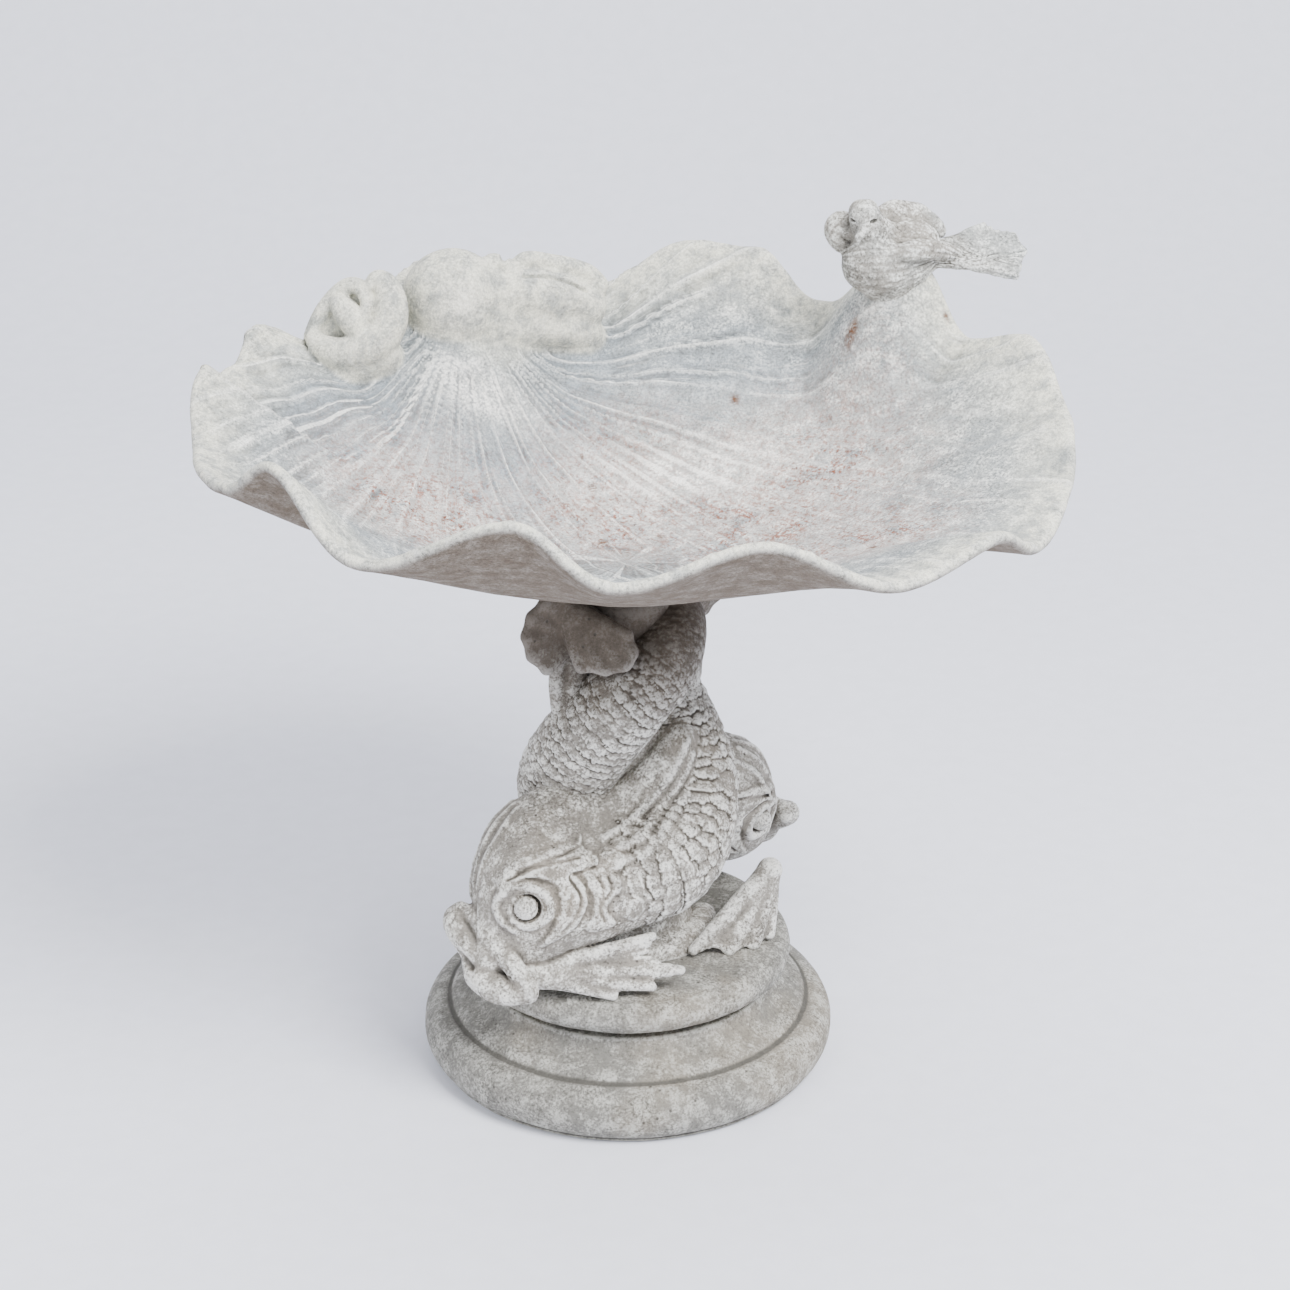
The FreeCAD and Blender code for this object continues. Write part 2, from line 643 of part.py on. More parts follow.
def bird():
    """The small bird: round body, head with a beak, folded wings, long tail and the knob it sits on."""
    centres = [Vector(x, y, z) for x, y, z, thick in BIRD_SPINE]
    body = sausage(centres, [station[3] for station in BIRD_SPINE])
    head = centres[1]
    beak_way = unit(Vector(*BIRD_BEAK_WAY))
    beak_root = head + beak_way * BIRD_BEAK_OUT
    beak = Part.makeCone(BIRD_BEAK_RADIUS, BIRD_BEAK_TIP, BIRD_BEAK_LENGTH, beak_root, beak_way)
    tail = feathered(centres[5], Vector(*BIRD_TAIL_WAY), Vector(*BIRD_TAIL_FACE),
                     BIRD_TAIL_LENGTH, BIRD_TAIL_WIDTH, BIRD_TAIL_THICKNESS)
    near = feathered(Vector(*NEAR_WING_ROOT), Vector(*NEAR_WING_WAY), Vector(*NEAR_WING_FACE),
                     BIRD_WING_LENGTH, BIRD_WING_WIDTH, BIRD_WING_THICKNESS)
    far = feathered(Vector(*FAR_WING_ROOT), Vector(*FAR_WING_WAY), Vector(*FAR_WING_FACE),
                    BIRD_WING_LENGTH, BIRD_WING_WIDTH, BIRD_WING_THICKNESS)
    knob_foot = Vector(BIRD_AT[0], BIRD_AT[1], BIRD_SEAT - BIRD_KNOB_SUNK)
    knob = Part.makeCone(BIRD_KNOB_RADIUS, BIRD_KNOB_TOP_RADIUS, BIRD_KNOB_HEIGHT, knob_foot)
    whole = joined([body, beak, tail, near, far, knob])
    return whole.cut(bird_pin_hole())


def above_the_rim(cut_bird):
    """The bird itself, without slivers of its knob left under the shell."""
    return max(cut_bird.Solids, key=lambda solid: solid.Volume)


def main():
    """Build every piece and write one file for each."""
    front = fitted(dolphin_whole())
    rear = half_turn(front)
    shell_basin = basin()
    small_bird = above_the_rim(bird().cut(shell_basin))
    pieces = {
        "foot": foot(),
        "mortar_bed": mortar_bed(),
        "plinth": plinth(),
        "core_post": core_post(),
        "tie_rod": tie_rod(),
        "tie_rod_washers": tie_rod_washers(),
        "tie_rod_nuts": tie_rod_nuts(),
        "dolphin_front": front,
        "dolphin_rear": rear,
        "seat_ring": seat_ring(),
        "basin": shell_basin,
        "basin_spigot": basin_spigot(),
        "bird": small_bird,
        "bird_pin": bird_pin_hole(),
    }
    os.makedirs("parts", exist_ok=True)
    for name, shape in pieces.items():
        shape.exportStep("parts/" + name + ".step")
        print(name, len(shape.Solids), shape.isValid(), round(shape.Volume), shape.BoundBox)


main()
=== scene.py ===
"""Bird bath: the finished look of a ruffled shell basin carried by two entwined dolphins."""
import math

import bmesh
import bpy
import numpy as np
from bpy.props import FloatProperty, FloatVectorProperty, IntProperty, PointerProperty
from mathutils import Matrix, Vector


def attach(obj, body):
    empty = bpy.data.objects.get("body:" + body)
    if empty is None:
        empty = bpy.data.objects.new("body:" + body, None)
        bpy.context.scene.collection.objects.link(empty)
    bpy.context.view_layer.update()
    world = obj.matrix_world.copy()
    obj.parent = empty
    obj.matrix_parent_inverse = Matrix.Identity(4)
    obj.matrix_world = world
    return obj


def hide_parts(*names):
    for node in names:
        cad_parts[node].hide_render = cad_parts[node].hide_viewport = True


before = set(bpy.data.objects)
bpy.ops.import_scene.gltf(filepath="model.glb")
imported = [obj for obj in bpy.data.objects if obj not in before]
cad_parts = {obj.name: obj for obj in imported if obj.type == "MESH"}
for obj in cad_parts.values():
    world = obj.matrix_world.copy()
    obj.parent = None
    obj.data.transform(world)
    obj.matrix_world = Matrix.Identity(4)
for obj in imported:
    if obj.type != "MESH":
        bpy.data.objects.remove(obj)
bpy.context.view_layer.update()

bl_info = {
    "name": "Dolphin bird bath",
    "version": (1, 0, 0),
    "blender": (4, 5, 0),
    "location": "3D View > Sidebar > Bird bath",
    "description": "Builds a cast stone bird bath with a shell basin, two dolphins and a bird",
    "category": "Add Mesh",
}

MILLIMETRE = 0.001
# Clay: distance given to empty space, and how far and in what steps points slide onto the surface
EMPTY, DRAPE_REACH, DRAPE_STEP = 50.0, 36, 0.4
# Scale of the casting's soft lumps, and points round a turned piece
BASE_LUMPS, DOLPHIN_LUMPS, BASIN_LUMPS, BIRD_LUMPS = 34.0, 60.0, 40.0, 90.0
TURNED_STEPS = 420

# ------------------------------------------------------------------ measured shapes, in millimetres
# Dolphin: the block of clay it is cut from, and the height of the plinth's top where it is cut off
DOLPHIN_BLOCK, PLINTH_TOP = ((-122, -122, 76), (92, 92, 330)), 79.0
# Its spine: turn round the axis in degrees, distance from the axis, height and thickness, snout to tail
DOLPHIN_SPINE = [(229, 100, 106, 15), (230, 90, 117, 24), (233, 76, 132, 32), (244, 61, 137, 35),
                 (268, 47, 143, 34), (298, 41, 147, 34), (328, 37, 160, 33), (360, 34, 183, 31),
                 (397, 30, 214, 28), (442, 29, 243, 25), (490, 29, 266, 22), (540, 29, 283, 18),
                 (582, 34, 292, 13)]
# The head's two sides: a point on the plane between them and the way its near side looks
HEAD_MIDDLE, HEAD_SIDE = (-72, -63, 137), (0.41, -0.89, 0.19)
# Rods of clay on the dolphin: points (x, y, z, thickness)
FOREHEAD = [(-42, -34, 174, 20), (-54, -46, 158, 30), (-58, -58, 143, 33), (-63, -63, 132, 27)]
SNOUT = [(-70, -70, 121, 20), (-77, -80, 112, 15), (-79, -86, 108, 13)]
LIP_RIM = [(-98, -66, 128, 4.5), (-89, -75, 127, 5.5), (-81, -85, 122, 6), (-73, -94, 115, 6),
           (-64, -101, 106, 6), (-57, -105, 97, 5.5), (-58, -103, 90, 4.5), (-68, -97, 87, 4)]
UPPER_LIP = [(-100, -62, 124, 5), (-101, -70, 122, 8), (-95, -79, 115, 8.5), (-88, -86, 108, 8),
             (-82, -91, 103, 6)]
LOWER_LIP = [(-92, -86, 103, 5), (-87, -93, 98, 8), (-77, -99, 94, 9), (-67, -103, 93, 8), (-60, -104, 95, 5)]
MOUTH_LINE = [(-110, -78, 112, 2.5), (-99, -88, 109, 3), (-91, -95, 105, 2)]
EYE_AT = (-59, -92, 143.5)
# Eye: radius of its socket and of the ball in it, and how deep the middle of each lies
EYE_SOCKET, EYE_SOCKET_DEPTH, EYE_BALL, EYE_BALL_DEPTH = 8.6, 1.5, 7.0, 3.2
# Curl round an eye: first angle, turn per step, reach, how much it closes per step, and its steps
SWIRL_START, SWIRL_TURN, SWIRL_REACH, SWIRL_CLOSE, SWIRL_STEPS = -120, 27, 15.0, 0.32, 15
# Raised leaves of the brow, the gills and the cheek: outlines (across, up) on the head's side, from the eye
LEAVES = [
    (2.6, [(-13, 16), (-7, 23), (5, 29), (19, 31), (27, 32), (36, 31), (41, 36), (39, 29), (44, 25),
           (43, 20), (35, 18), (26, 17), (25, 10), (22, 4), (18, 6), (18, 11), (14, 15), (5, 18), (-4, 16),
           (-12, 10)]),
    (2.2, [(27, 17), (32, 11), (34, 1), (30, -9), (24, -17), (14, -23), (6, -25), (13, -14), (18, -3),
           (19, 4), (24, 8)]),
    (2.2, [(34, 17), (42, 18), (48, 16), (54, 11), (54, 4), (48, -1), (45, -8), (51, -18), (42, -21),
           (33, -19), (36, -9), (38, 1), (36, 10)]),
    (2.0, [(42, 24), (52, 26), (60, 22), (57, 16), (50, 15), (43, 18)]),
    (1.8, [(56, -14), (59, -5), (65, -3), (69, -9), (67, -15), (61, -18)]),
]
# Grooves along the leaves, in the same way
LEAF_LINES = [[(-8, 17), (6, 23), (20, 25), (34, 25)], [(-2, 21), (12, 26), (26, 28), (38, 31)],
              [(26, 14), (30, 3), (26, -8), (18, -17)], [(42, 13), (44, 4), (41, -6), (44, -15)],
              [(48, 12), (49, 6), (45, 0)]]
# Ridges of the forehead, and the ways from which they and the coils' ridges slide onto the body
FOREHEAD_OUT, COIL_OUT = (-0.75, -0.55, 0.3), (0.2, -0.9, 0.2)
FOREHEAD_LINES = [
    [(-58, -29, 180, 1.5), (-74, -38, 170, 2), (-86, -48, 156, 2), (-90, -56, 142, 1.5)],
    [(-55, -34, 181, 1.5), (-68, -46, 171, 2), (-80, -56, 157, 2), (-86, -64, 144, 1.5)],
    [(-52, -40, 181, 1.2), (-62, -52, 172, 1.7), (-74, -62, 158, 1.7), (-82, -70, 144, 1.2)],
    [(-60, -22, 177, 1.5), (-76, -30, 166, 2), (-89, -40, 152, 2), (-93, -48, 139, 1.5)],
]
BREAST_FIN_ROOT = (-58, -88, 97)
BREAST_FIN_TIPS = [(15, -74, 114), (32, -79, 94), (15, -85, 86), (-8, -89, 82)]
# Short fin that stands on the plinth beside the other dolphin's head
SIDE_FIN_ROOT = (-87, 6, 122)
SIDE_FIN_TIPS = [(-87, 18, 84), (-77, 27, 81), (-62, 34, 81), (-40, 38, 84)]
# Soft roll of stone where the belly meets the plinth
LEDGE_ROLL = [(-20, -44, 79, 8), (6, -38, 79, 11), (28, -28, 79, 12), (42, -8, 79, 11), (46, 12, 79, 9)]
# Lobes of the tail under the basin: root and tips
TAIL_LOBES = [
    ((-32, -24, 286), [(-36, -34, 316), (-46, -40, 314), (-54, -44, 306), (-57, -46, 295),
                       (-54, -46, 283), (-46, -44, 274)]),
    ((-34, -30, 304), [(0, -46, 296), (3, -50, 287), (-1, -52, 280), (-12, -52, 277), (-26, -48, 277)]),
]
BACK_FIN = [[(-40, -25, 270, 4.5), (-41, -27, 256, 5), (-40, -24, 240, 5)],
            [(-31, -19, 268, 8), (-32, -20, 254, 10), (-34, -17, 240, 10)]]
# Where the coils meet: clay that fills the crevice, and the ridges that run over it
COIL_FILL = [(-30, -38, 160, 14), (-12, -30, 166, 18), (8, -26, 180, 18), (24, -22, 200, 14),
             (32, -16, 216, 8)]
COIL_RIDGES = [
    [(-16, -46, 170, 1.6), (0, -42, 176, 2.2), (14, -38, 188, 2.4), (26, -32, 202, 2.2), (36, -24, 218, 1.6)],
    [(-18, -48, 163, 1.6), (2, -46, 169, 2.2), (18, -41, 181, 2.4), (30, -34, 195, 2.2), (39, -26, 210, 1.6)],
    [(-10, -50, 158, 1.6), (8, -48, 163, 2.2), (22, -43, 175, 2.2), (35, -35, 190, 1.6)],
]

# Basin: half sizes, floor height, wall and the curves of the bowl and its ruffles
HALF_WIDTH, HALF_DEPTH, FLOOR, WALL = 247.0, 197.0, 323.0, 7.0
FLAT, BOWL_CURVE, RUFFLE_CURVE = 0.12, 1.6, 4.0
RIM_FRONT, RIM_BACK = 404.0, 436.0
# Crests and dips of the rim: turn in degrees, reach, height
RUFFLES = [(4, 1.02, 410), (21, 1.02, 436), (34, 0.98, 424), (46, 1.00, 430), (61, 0.97, 428),
           (71, 1.00, 455), (81, 1.00, 458), (95, 0.97, 431), (118, 1.00, 444), (141, 0.96, 416),
           (151, 1.02, 434), (159, 1.00, 419), (169, 1.01, 413), (187, 0.98, 401), (203, 0.99, 404),
           (210, 1.00, 409), (220, 0.98, 430), (237, 1.02, 394), (257, 1.00, 423), (269, 1.01, 393),
           (286, 1.00, 411), (305, 1.03, 381), (321, 1.03, 392), (332, 1.03, 374), (349, 1.02, 388)]
DOME_AT, DOME_RADIUS, DOME_RISE = (-104.0, 132.0), 72.0, 26.0
DOME_BALL_AT, DOME_BALL = (-107.0, 142.0, 439.0), 31.0
PERCH_AT, PERCH_RADIUS, PERCH_RISE = (159.0, 127.0), 52.0, 52.0
# Fold in the left of the rim: its turn, width in degrees and rise; where it starts and its curve
LEFT_FOLD, FOLD_FROM, FOLD_CURVE = (167.0, 14.0, 15.0), 0.5, 1.3
HINGE = (-100.0, 140.0)
# How much a rib bends with its distance from the hinge, for ribs that leave it at these angles
RIB_LEAVES = [-250, -180, -122, -103, -62, -47, -31, 0, 40, 60]
RIB_BENDS = [0, -0.03, -0.05, -0.06, -0.06, 0.05, 0.10, 0.06, 0, 0]
RIB_STEP, RIB_EVEN_AT, RIB_BEND_TO = 5.6, 160.0, 330
# Ribs start this far from the hinge and grow over this distance; they fade from here over this distance
RIBS_FROM, RIBS_GROW, RIBS_FADE_AT, RIBS_FADE, RIBS_FAINT = 22, 10, 190, 80, 0.35
# Points round the edge and in rows: upper face, rim and underside
UPPER_ROWS, RIM_ROWS, LOWER_ROWS, RIM_BULGE = 105, 8, 44, 0.62
# Patches in the bowl: strength, middle in plan and half sizes
SILT_PATCHES = [(1.0, (-118, 22), (62, 60)), (1.0, (-5, 62), (62, 62)), (1.0, (92, 45), (84, 70)),
                (1.0, (130, -45), (60, 50))]
BLUE_PATCHES = [(0.9, (-172, 62), (45, 38)), (0.7, (40, 132), (90, 26))]
LIME_PATCHES = [(1.0, (38, 84), (62, 20)), (0.8, (-88, 108), (34, 12))]
# Bluish ring round the hinge, and the creamy dome and rim
BLUE_RING_REACH, BLUE_RING_WIDTH = 72, 40
CREAM_DOME_AT, CREAM_DOME_REACH, CREAM_DOME_FADE, CREAM_DOME_FLAT = (-90, 150), 34, 14, 1.1
CREAM_RIM_FROM, CREAM_RIM_FADE, SILT_RIM_FADE = 0.84, 0.14, 0.2
# Rust pits and stains inside the bowl: place in plan and size
MARKS = [((136, 116), 4.5), ((147, 124), 3.0), ((193, 114), 2.2), ((-28, 96), 2.0), ((-21, 76), 3.0),
         ((-14, 28), 3.5), ((66, 124), 3.0), ((20, 34), 2.5), ((86, 38), 2.0), ((138, -62), 3.0)]
# Boss under the basin, turned from its profile: distance from the axis, height
BOSS_PROFILE = [(15, 308.2), (33, 308.2), (36, 312), (38, 321), (15, 321)]
# Ears of the shell: their block of clay, its cell, and the skin of shell that they grow from
EARS_BLOCK, EARS_CELL = ((-214, 84, 388), (4, 182, 476)), 1.2
EARS_SKIN, EARS_SKIN_SUNK, EARS_SKIN_TO, EARS_SKIN_EDGE, RIM_STEEPNESS = 2.6, 0.5, 0.955, 3, 200
SCROLL_WRAP = [(-190, 110, 424, 5), (-183, 105, 419, 8), (-171, 102, 417, 9.5), (-158, 103, 420, 11),
               (-147, 108, 428, 11.5), (-143, 113, 440, 11), (-145, 117, 452, 9), (-150, 117, 458, 6.5),
               (-155, 114, 456, 4)]
SCROLL_LOBE = [(-192, 114, 424, 4.5), (-186, 116, 436, 5), (-177, 118, 447, 5.5), (-168, 118, 454, 5.5),
               (-161, 115, 454, 5), (-157, 110, 447, 4), (-158, 106, 439, 3)]
SCROLL_TONGUE = [(-160, 108, 428, 9), (-166, 109, 436, 9), (-172, 112, 443, 7), (-176, 116, 448, 4)]
SCROLL_FOOT = [(-182, 112, 412, 8), (-166, 108, 410, 12), (-150, 112, 414, 12)]
SCROLL_BACK = [(-184, 122, 424, 9), (-170, 125, 432, 14), (-158, 126, 440, 13), (-150, 128, 436, 12)]
EAR_CREST = [(-86, 146, 452, 8), (-83, 152, 459, 5.5), (-76, 151, 458, 5), (-70, 154, 455, 5),
             (-62, 156, 460, 5), (-48, 160, 457, 5), (-34, 163, 453, 5), (-24, 165, 448, 5.5),
             (-19, 166, 440, 7)]
EAR_BODY = [(-84, 150, 440, 13), (-66, 152, 440, 16), (-48, 156, 437, 16), (-33, 160, 434, 13),
            (-24, 162, 428, 11)]
EAR_FOOT = [(-78, 146, 422, 12), (-58, 151, 420, 12), (-40, 156, 416, 11), (-26, 161, 412, 9)]
EAR_GROOVES = [[(-78, 138, 460, 1.5), (-76, 150, 462, 2), (-74, 164, 458, 1.5)],
               [(-64, 144, 452, 1.2), (-44, 149, 449, 1.8), (-26, 153, 440, 1.2)]]

# Bird: its block of clay and cell, then its rods (x, y, z, thickness)
BIRD_BLOCK, BIRD_CELL = ((110, 84, 424), (250, 158, 516)), 0.75
BIRD_BODY = [(150, 119, 484, 12), (150, 121, 474, 17), (153, 123, 467, 20), (168, 126, 467, 16),
             (182, 129, 469, 9), (196, 131, 471, 5)]
# Lumps: middle and radii
BIRD_CHEST = ((149, 117, 468), (19, 16, 17))
BIRD_SHOULDER = ((168, 129, 479), (20, 12, 14))
BIRD_HEAD = [(141, 112, 500, 9.5), (143, 114, 495, 10.5), (147, 117, 486, 12)]
BIRD_BEAK = [(140, 105, 492, 3.2), (138, 102, 489, 2.2), (137, 100, 487, 1)]
# Each eye: place and the way it looks
BIRD_EYES = [((147, 104, 498), (0.25, -1, 0.1)), ((134, 107, 498), (-0.75, -0.7, 0.1))]
BIRD_EYE_RADII = (3.2, 2.2, 1.1)
BIRD_NECK = [(159, 126, 438, 13), (159, 126, 447, 14), (159, 126, 455, 16), (158, 125, 461, 17)]
BIRD_SIDE_WING = [(146, 124, 484, 7), (134, 123, 489, 8.5), (127, 123, 490, 8), (126, 122, 483, 6),
                  (132, 122, 477, 5)]
BIRD_BACK_WING = [(152, 133, 493, 6), (162, 137, 494, 8), (175, 140, 491, 8), (185, 140, 486, 6),
                  (189, 139, 482, 4)]
BIRD_NEAR_WING = [(160, 108, 477, 5), (172, 111, 478, 7), (186, 118, 476, 6), (198, 124, 473, 4)]
BIRD_TAIL_ROOT = (184, 128, 471)
BIRD_TAIL_TIPS = [(234, 119, 460), (236, 123, 464), (240, 131, 472), (234, 139, 479), (216, 142, 485)]
BIRD_HOLLOW = [(174, 108, 466, 2), (180, 110, 469, 4), (187, 114, 468, 4), (194, 119, 467, 2)]
BIRD_CUT = 428.0
# Feather strokes: the way back from the head, the axis they turn round, their size and where they begin
FEATHERS_BACK, FEATHERS_ROUND, FEATHERS_REACH = (0.97, 0.12, -0.2), (124, 470), 14
FEATHER_SIZE, FEATHERS_FROM, FEATHERS_GROW = 5.0, 452, 6

# Studio, in metres: camera and lamps (name, place, target, size, watts)
CAMERA_AT, CAMERA_LOOKS_DOWN, LENS, SENSOR = (0.0107, -1.581, 0.971), 23.93, 81.49, 36.0
LAMPS = [("key", (1.1, -1.3, 2.2), (0, 0, 0.25), 1.1, 128.0),
         ("fill", (-1.6, -1.7, 1.5), (0, 0, 0.25), 1.8, 26.0),
         ("top", (-0.2, 0.6, 2.4), (0, 0, 0.3), 1.8, 20.0)]
SKY_COLOUR, SKY_STRENGTH = (0.93, 0.95, 1.0, 1.0), 0.86
SWEEP_HALF_WIDTH, SWEEP_FRONT, SWEEP_BEND_AT, SWEEP_BEND, SWEEP_TOP = 5.0, -4.0, 1.2, 0.8, 4.0


# ------------------------------------------------------------------ clay: shapes added to a grid of distances
def spline(points, per=6):
    """Points along a smooth curve through the given points; any further numbers are carried along."""
    given = np.array(points, float)
    padded = np.vstack([2 * given[0] - given[1], given, 2 * given[-1] - given[-2]])
    curve = []
    for before, start, end, after in zip(padded, padded[1:], padded[2:], padded[3:]):
        for step in range(per):
            t = step / per
            bend = (2 * before - 5 * start + 4 * end - after) * t * t
            twist = (3 * start - before - 3 * end + after) * t ** 3
            curve.append(0.5 * (2 * start + (end - before) * t + bend + twist))
    curve.append(given[-1])
    return np.array(curve)


class Clay:
    """A block of space cut into cells; each cell knows how far it is from the surface, negative inside."""

    def __init__(self, low, high, cell):
        self.low = np.array(low, float)
        self.cell = cell
        count = np.ceil((np.array(high, float) - self.low) / cell).astype(int) + 1
        self.far = np.full(count, EMPTY, np.float32)

    def window(self, low, high):
        """The part of the grid between two corners, as slices and open coordinate arrays."""
        first = np.clip(np.floor((low - self.low) / self.cell).astype(int), 0, np.array(self.far.shape) - 1)
        last = np.clip(np.ceil((high - self.low) / self.cell).astype(int) + 1, 1, self.far.shape)
        cut = tuple(slice(a, b) for a, b in zip(first, last))
        axes = [(self.low[k] + self.cell * np.arange(first[k], last[k])).astype(np.float32) for k in range(3)]
        return cut, (axes[0][:, None, None], axes[1][None, :, None], axes[2][None, None, :])

    def merge(self, cut, distance, soft, carve=False):
        """Adds a shape to the clay, or carves it away, with a soft joint."""
        here = self.far[cut]
        if carve:
            gap = np.maximum(soft - np.abs(here + distance), 0) / soft
            self.far[cut] = np.maximum(here, -distance) + gap * gap * soft / 4
        else:
            gap = np.maximum(soft - np.abs(here - distance), 0) / soft
            self.far[cut] = np.minimum(here, distance) - gap * gap * soft / 4

    def rod(self, points, soft=3.0, per=5, carve=False):
        """A round rod whose thickness changes along its curve."""
        curve = spline(points, per)
        reach = curve[:, 3].max() + soft + 2 * self.cell
        whole, axes = self.window(curve[:, :3].min(0) - reach, curve[:, :3].max(0) + reach)
        distance = np.full([part.stop - part.start for part in whole], EMPTY, np.float32)
        origin = [part.start for part in whole]
        for start, end in zip(curve, curve[1:]):
            thick = max(start[3], end[3]) + soft + 2 * self.cell
            low, high = np.minimum(start, end)[:3] - thick, np.maximum(start, end)[:3] + thick
            cut, (x, y, z) = self.window(low, high)
            way = end[:3] - start[:3]
            length = max(float(way @ way), 1e-6)
            px, py, pz = x - start[0], y - start[1], z - start[2]
            share = np.clip((px * way[0] + py * way[1] + pz * way[2]) / length, 0, 1)
            gap = np.sqrt((px - share * way[0]) ** 2 + (py - share * way[1]) ** 2
                          + (pz - share * way[2]) ** 2)
            gap -= start[3] + (end[3] - start[3]) * share
            local = tuple(slice(part.start - o, part.stop - o) for part, o in zip(cut, origin))
            distance[local] = np.minimum(distance[local], gap)
        self.merge(whole, distance, soft, carve)

    def ball(self, centre, radii, soft=3.0, carve=False):
        """An oval lump."""
        radii = np.array(radii, float) * np.ones(3)
        reach = radii + soft + 2 * self.cell
        cut, (x, y, z) = self.window(np.array(centre) - reach, np.array(centre) + reach)
        away = np.sqrt(((x - centre[0]) / radii[0]) ** 2 + ((y - centre[1]) / radii[1]) ** 2
                       + ((z - centre[2]) / radii[2]) ** 2)
        self.merge(cut, ((away - 1) * radii.min()).astype(np.float32), soft, carve)

    def fan(self, root, tips, web=1.5, rib=2.8, scallop=0.16, root_thick=5.0, soft=2.0, between=6):
        """Ribs that spread from a root to their tips, with a thinner web scalloped between them."""
        root = np.array(root, float)
        edge = spline(tips, between)
        for number, tip in enumerate(edge):
            middle = math.sin(math.pi * (number % between) / between)
            thick = rib + (web - rib) * middle ** 0.7
            length = 1 - scallop * middle
            end = root + (tip - root) * length
            self.rod([(*root, root_thick), (*(root * 0.55 + end * 0.45), thick + 0.9), (*end, thick * 0.75)],
                     soft, 3)

    def drape(self, points, way):
        """Slides each point along a direction onto the outermost surface."""
        way = np.array(way, float) / np.linalg.norm(way)
        moved = []
        for point in points:
            slides = np.arange(DRAPE_REACH, -DRAPE_REACH, -DRAPE_STEP)
            rays = np.array(point[:3], float) + way * slides[:, None]
            index = np.rint((rays - self.low) / self.cell).astype(int)
            index = np.clip(index, 0, np.array(self.far.shape) - 1)
            hits = np.flatnonzero(self.far[tuple(index.T)] < 0)
            moved.append((*(rays[hits[0]] if len(hits) else point[:3]), *point[3:]))
        return moved

    def stamp(self, corner, across, up, way, outline, height, edge=1.1):
        """Raises the surface inside an outline drawn on a plane, on the side that looks the given way."""
        ring = spline([(*p, 0, 0) for p in outline] + [(*outline[0], 0, 0)], 4)[:, :2]
        solid = np.array([corner + across * p[0] + up * p[1] for p in ring])
        cut, (x, y, z) = self.window(solid.min(0) - 30, solid.max(0) + 30)
        here = self.far[cut]
        cells = np.argwhere(np.abs(here) < 6 + height)
        place = np.stack([x.ravel()[cells[:, 0]], y.ravel()[cells[:, 1]], z.ravel()[cells[:, 2]]], 1) - corner
        flat = np.stack([place @ across, place @ up], 1)
        distance = np.full(len(flat), 1e3)
        inside = np.zeros(len(flat), bool)
        for a, b in zip(ring, np.roll(ring, -1, axis=0)):
            side = b - a
            share = np.clip(((flat - a) @ side) / max(side @ side, 1e-9), 0, 1)
            distance = np.minimum(distance, np.linalg.norm(flat - a - share[:, None] * side, axis=1))
            crosses = (a[1] > flat[:, 1]) != (b[1] > flat[:, 1])
            rise = side[1] if abs(side[1]) > 1e-9 else 1e-9
            inside ^= crosses & (flat[:, 0] < side[0] * (flat[:, 1] - a[1]) / rise + a[0])
        signed = np.where(inside, distance, -distance)
        lift = np.clip((signed + edge / 2) / edge, 0, 1) * (0.75 + 0.25 * np.clip(signed / 6, 0, 1))
        lift *= height * np.clip((place @ way + 22) / 8, 0, 1)
        here[tuple(cells.T)] -= lift.astype(np.float32)

    def below(self, height):
        """Cuts everything under a height away."""
        z = (self.low[2] + self.cell * np.arange(self.far.shape[2])).astype(np.float32)
        self.far = np.maximum(self.far, (height - z)[None, None, :])

    def skin(self):
        """The surface of the clay as points and four-sided faces that look outward."""
        inside = self.far < 0
        near = inside[:-1, :-1, :-1]
        mixed = np.zeros(near.shape, bool)
        offsets = [(i, j, k) for i in (0, 1) for j in (0, 1) for k in (0, 1)]
        shape = self.far.shape
        for i, j, k in offsets:
            mixed |= inside[i:shape[0] - 1 + i, j:shape[1] - 1 + j, k:shape[2] - 1 + k] != near
        cells = np.argwhere(mixed)
        number = np.full(mixed.shape, -1, np.int64)
        number[tuple(cells.T)] = np.arange(len(cells))
        corner = {o: self.far[cells[:, 0] + o[0], cells[:, 1] + o[1], cells[:, 2] + o[2]] for o in offsets}
        total = np.zeros((len(cells), 3))
        count = np.zeros(len(cells))
        for a in offsets:
            for axis in range(3):
                if a[axis]:
                    continue
                b = tuple(v + (n == axis) for n, v in enumerate(a))
                crosses = (corner[a] < 0) != (corner[b] < 0)
                share = corner[a] / np.where(crosses, corner[a] - corner[b], 1)
                place = np.array(a, float)[None, :].repeat(len(cells), 0)
                place[:, axis] = share
                total[crosses] += place[crosses]
                count[crosses] += 1
        points = (cells + total / count[:, None]) * self.cell + self.low
        faces = []
        for axis in range(3):
            one, two = [(1, 2), (2, 0), (0, 1)][axis]
            start = [slice(1, n - 1) for n in shape]
            start[axis] = slice(0, shape[axis] - 1)
            end = list(start)
            end[axis] = slice(1, shape[axis])
            first, second = inside[tuple(start)], inside[tuple(end)]
            places = np.argwhere(first != second)
            leaves = first[tuple(places.T)]
            base = places + 1
            base[:, axis] -= 1
            step_one, step_two = np.eye(3, dtype=int)[one], np.eye(3, dtype=int)[two]
            ring = [base - step_one - step_two, base - step_two, base, base - step_one]
            quad = np.stack([number[tuple(r.T)] for r in ring], 1)
            quad[~leaves] = quad[~leaves][:, ::-1]
            faces.append(quad)
        return points, np.vstack(faces)


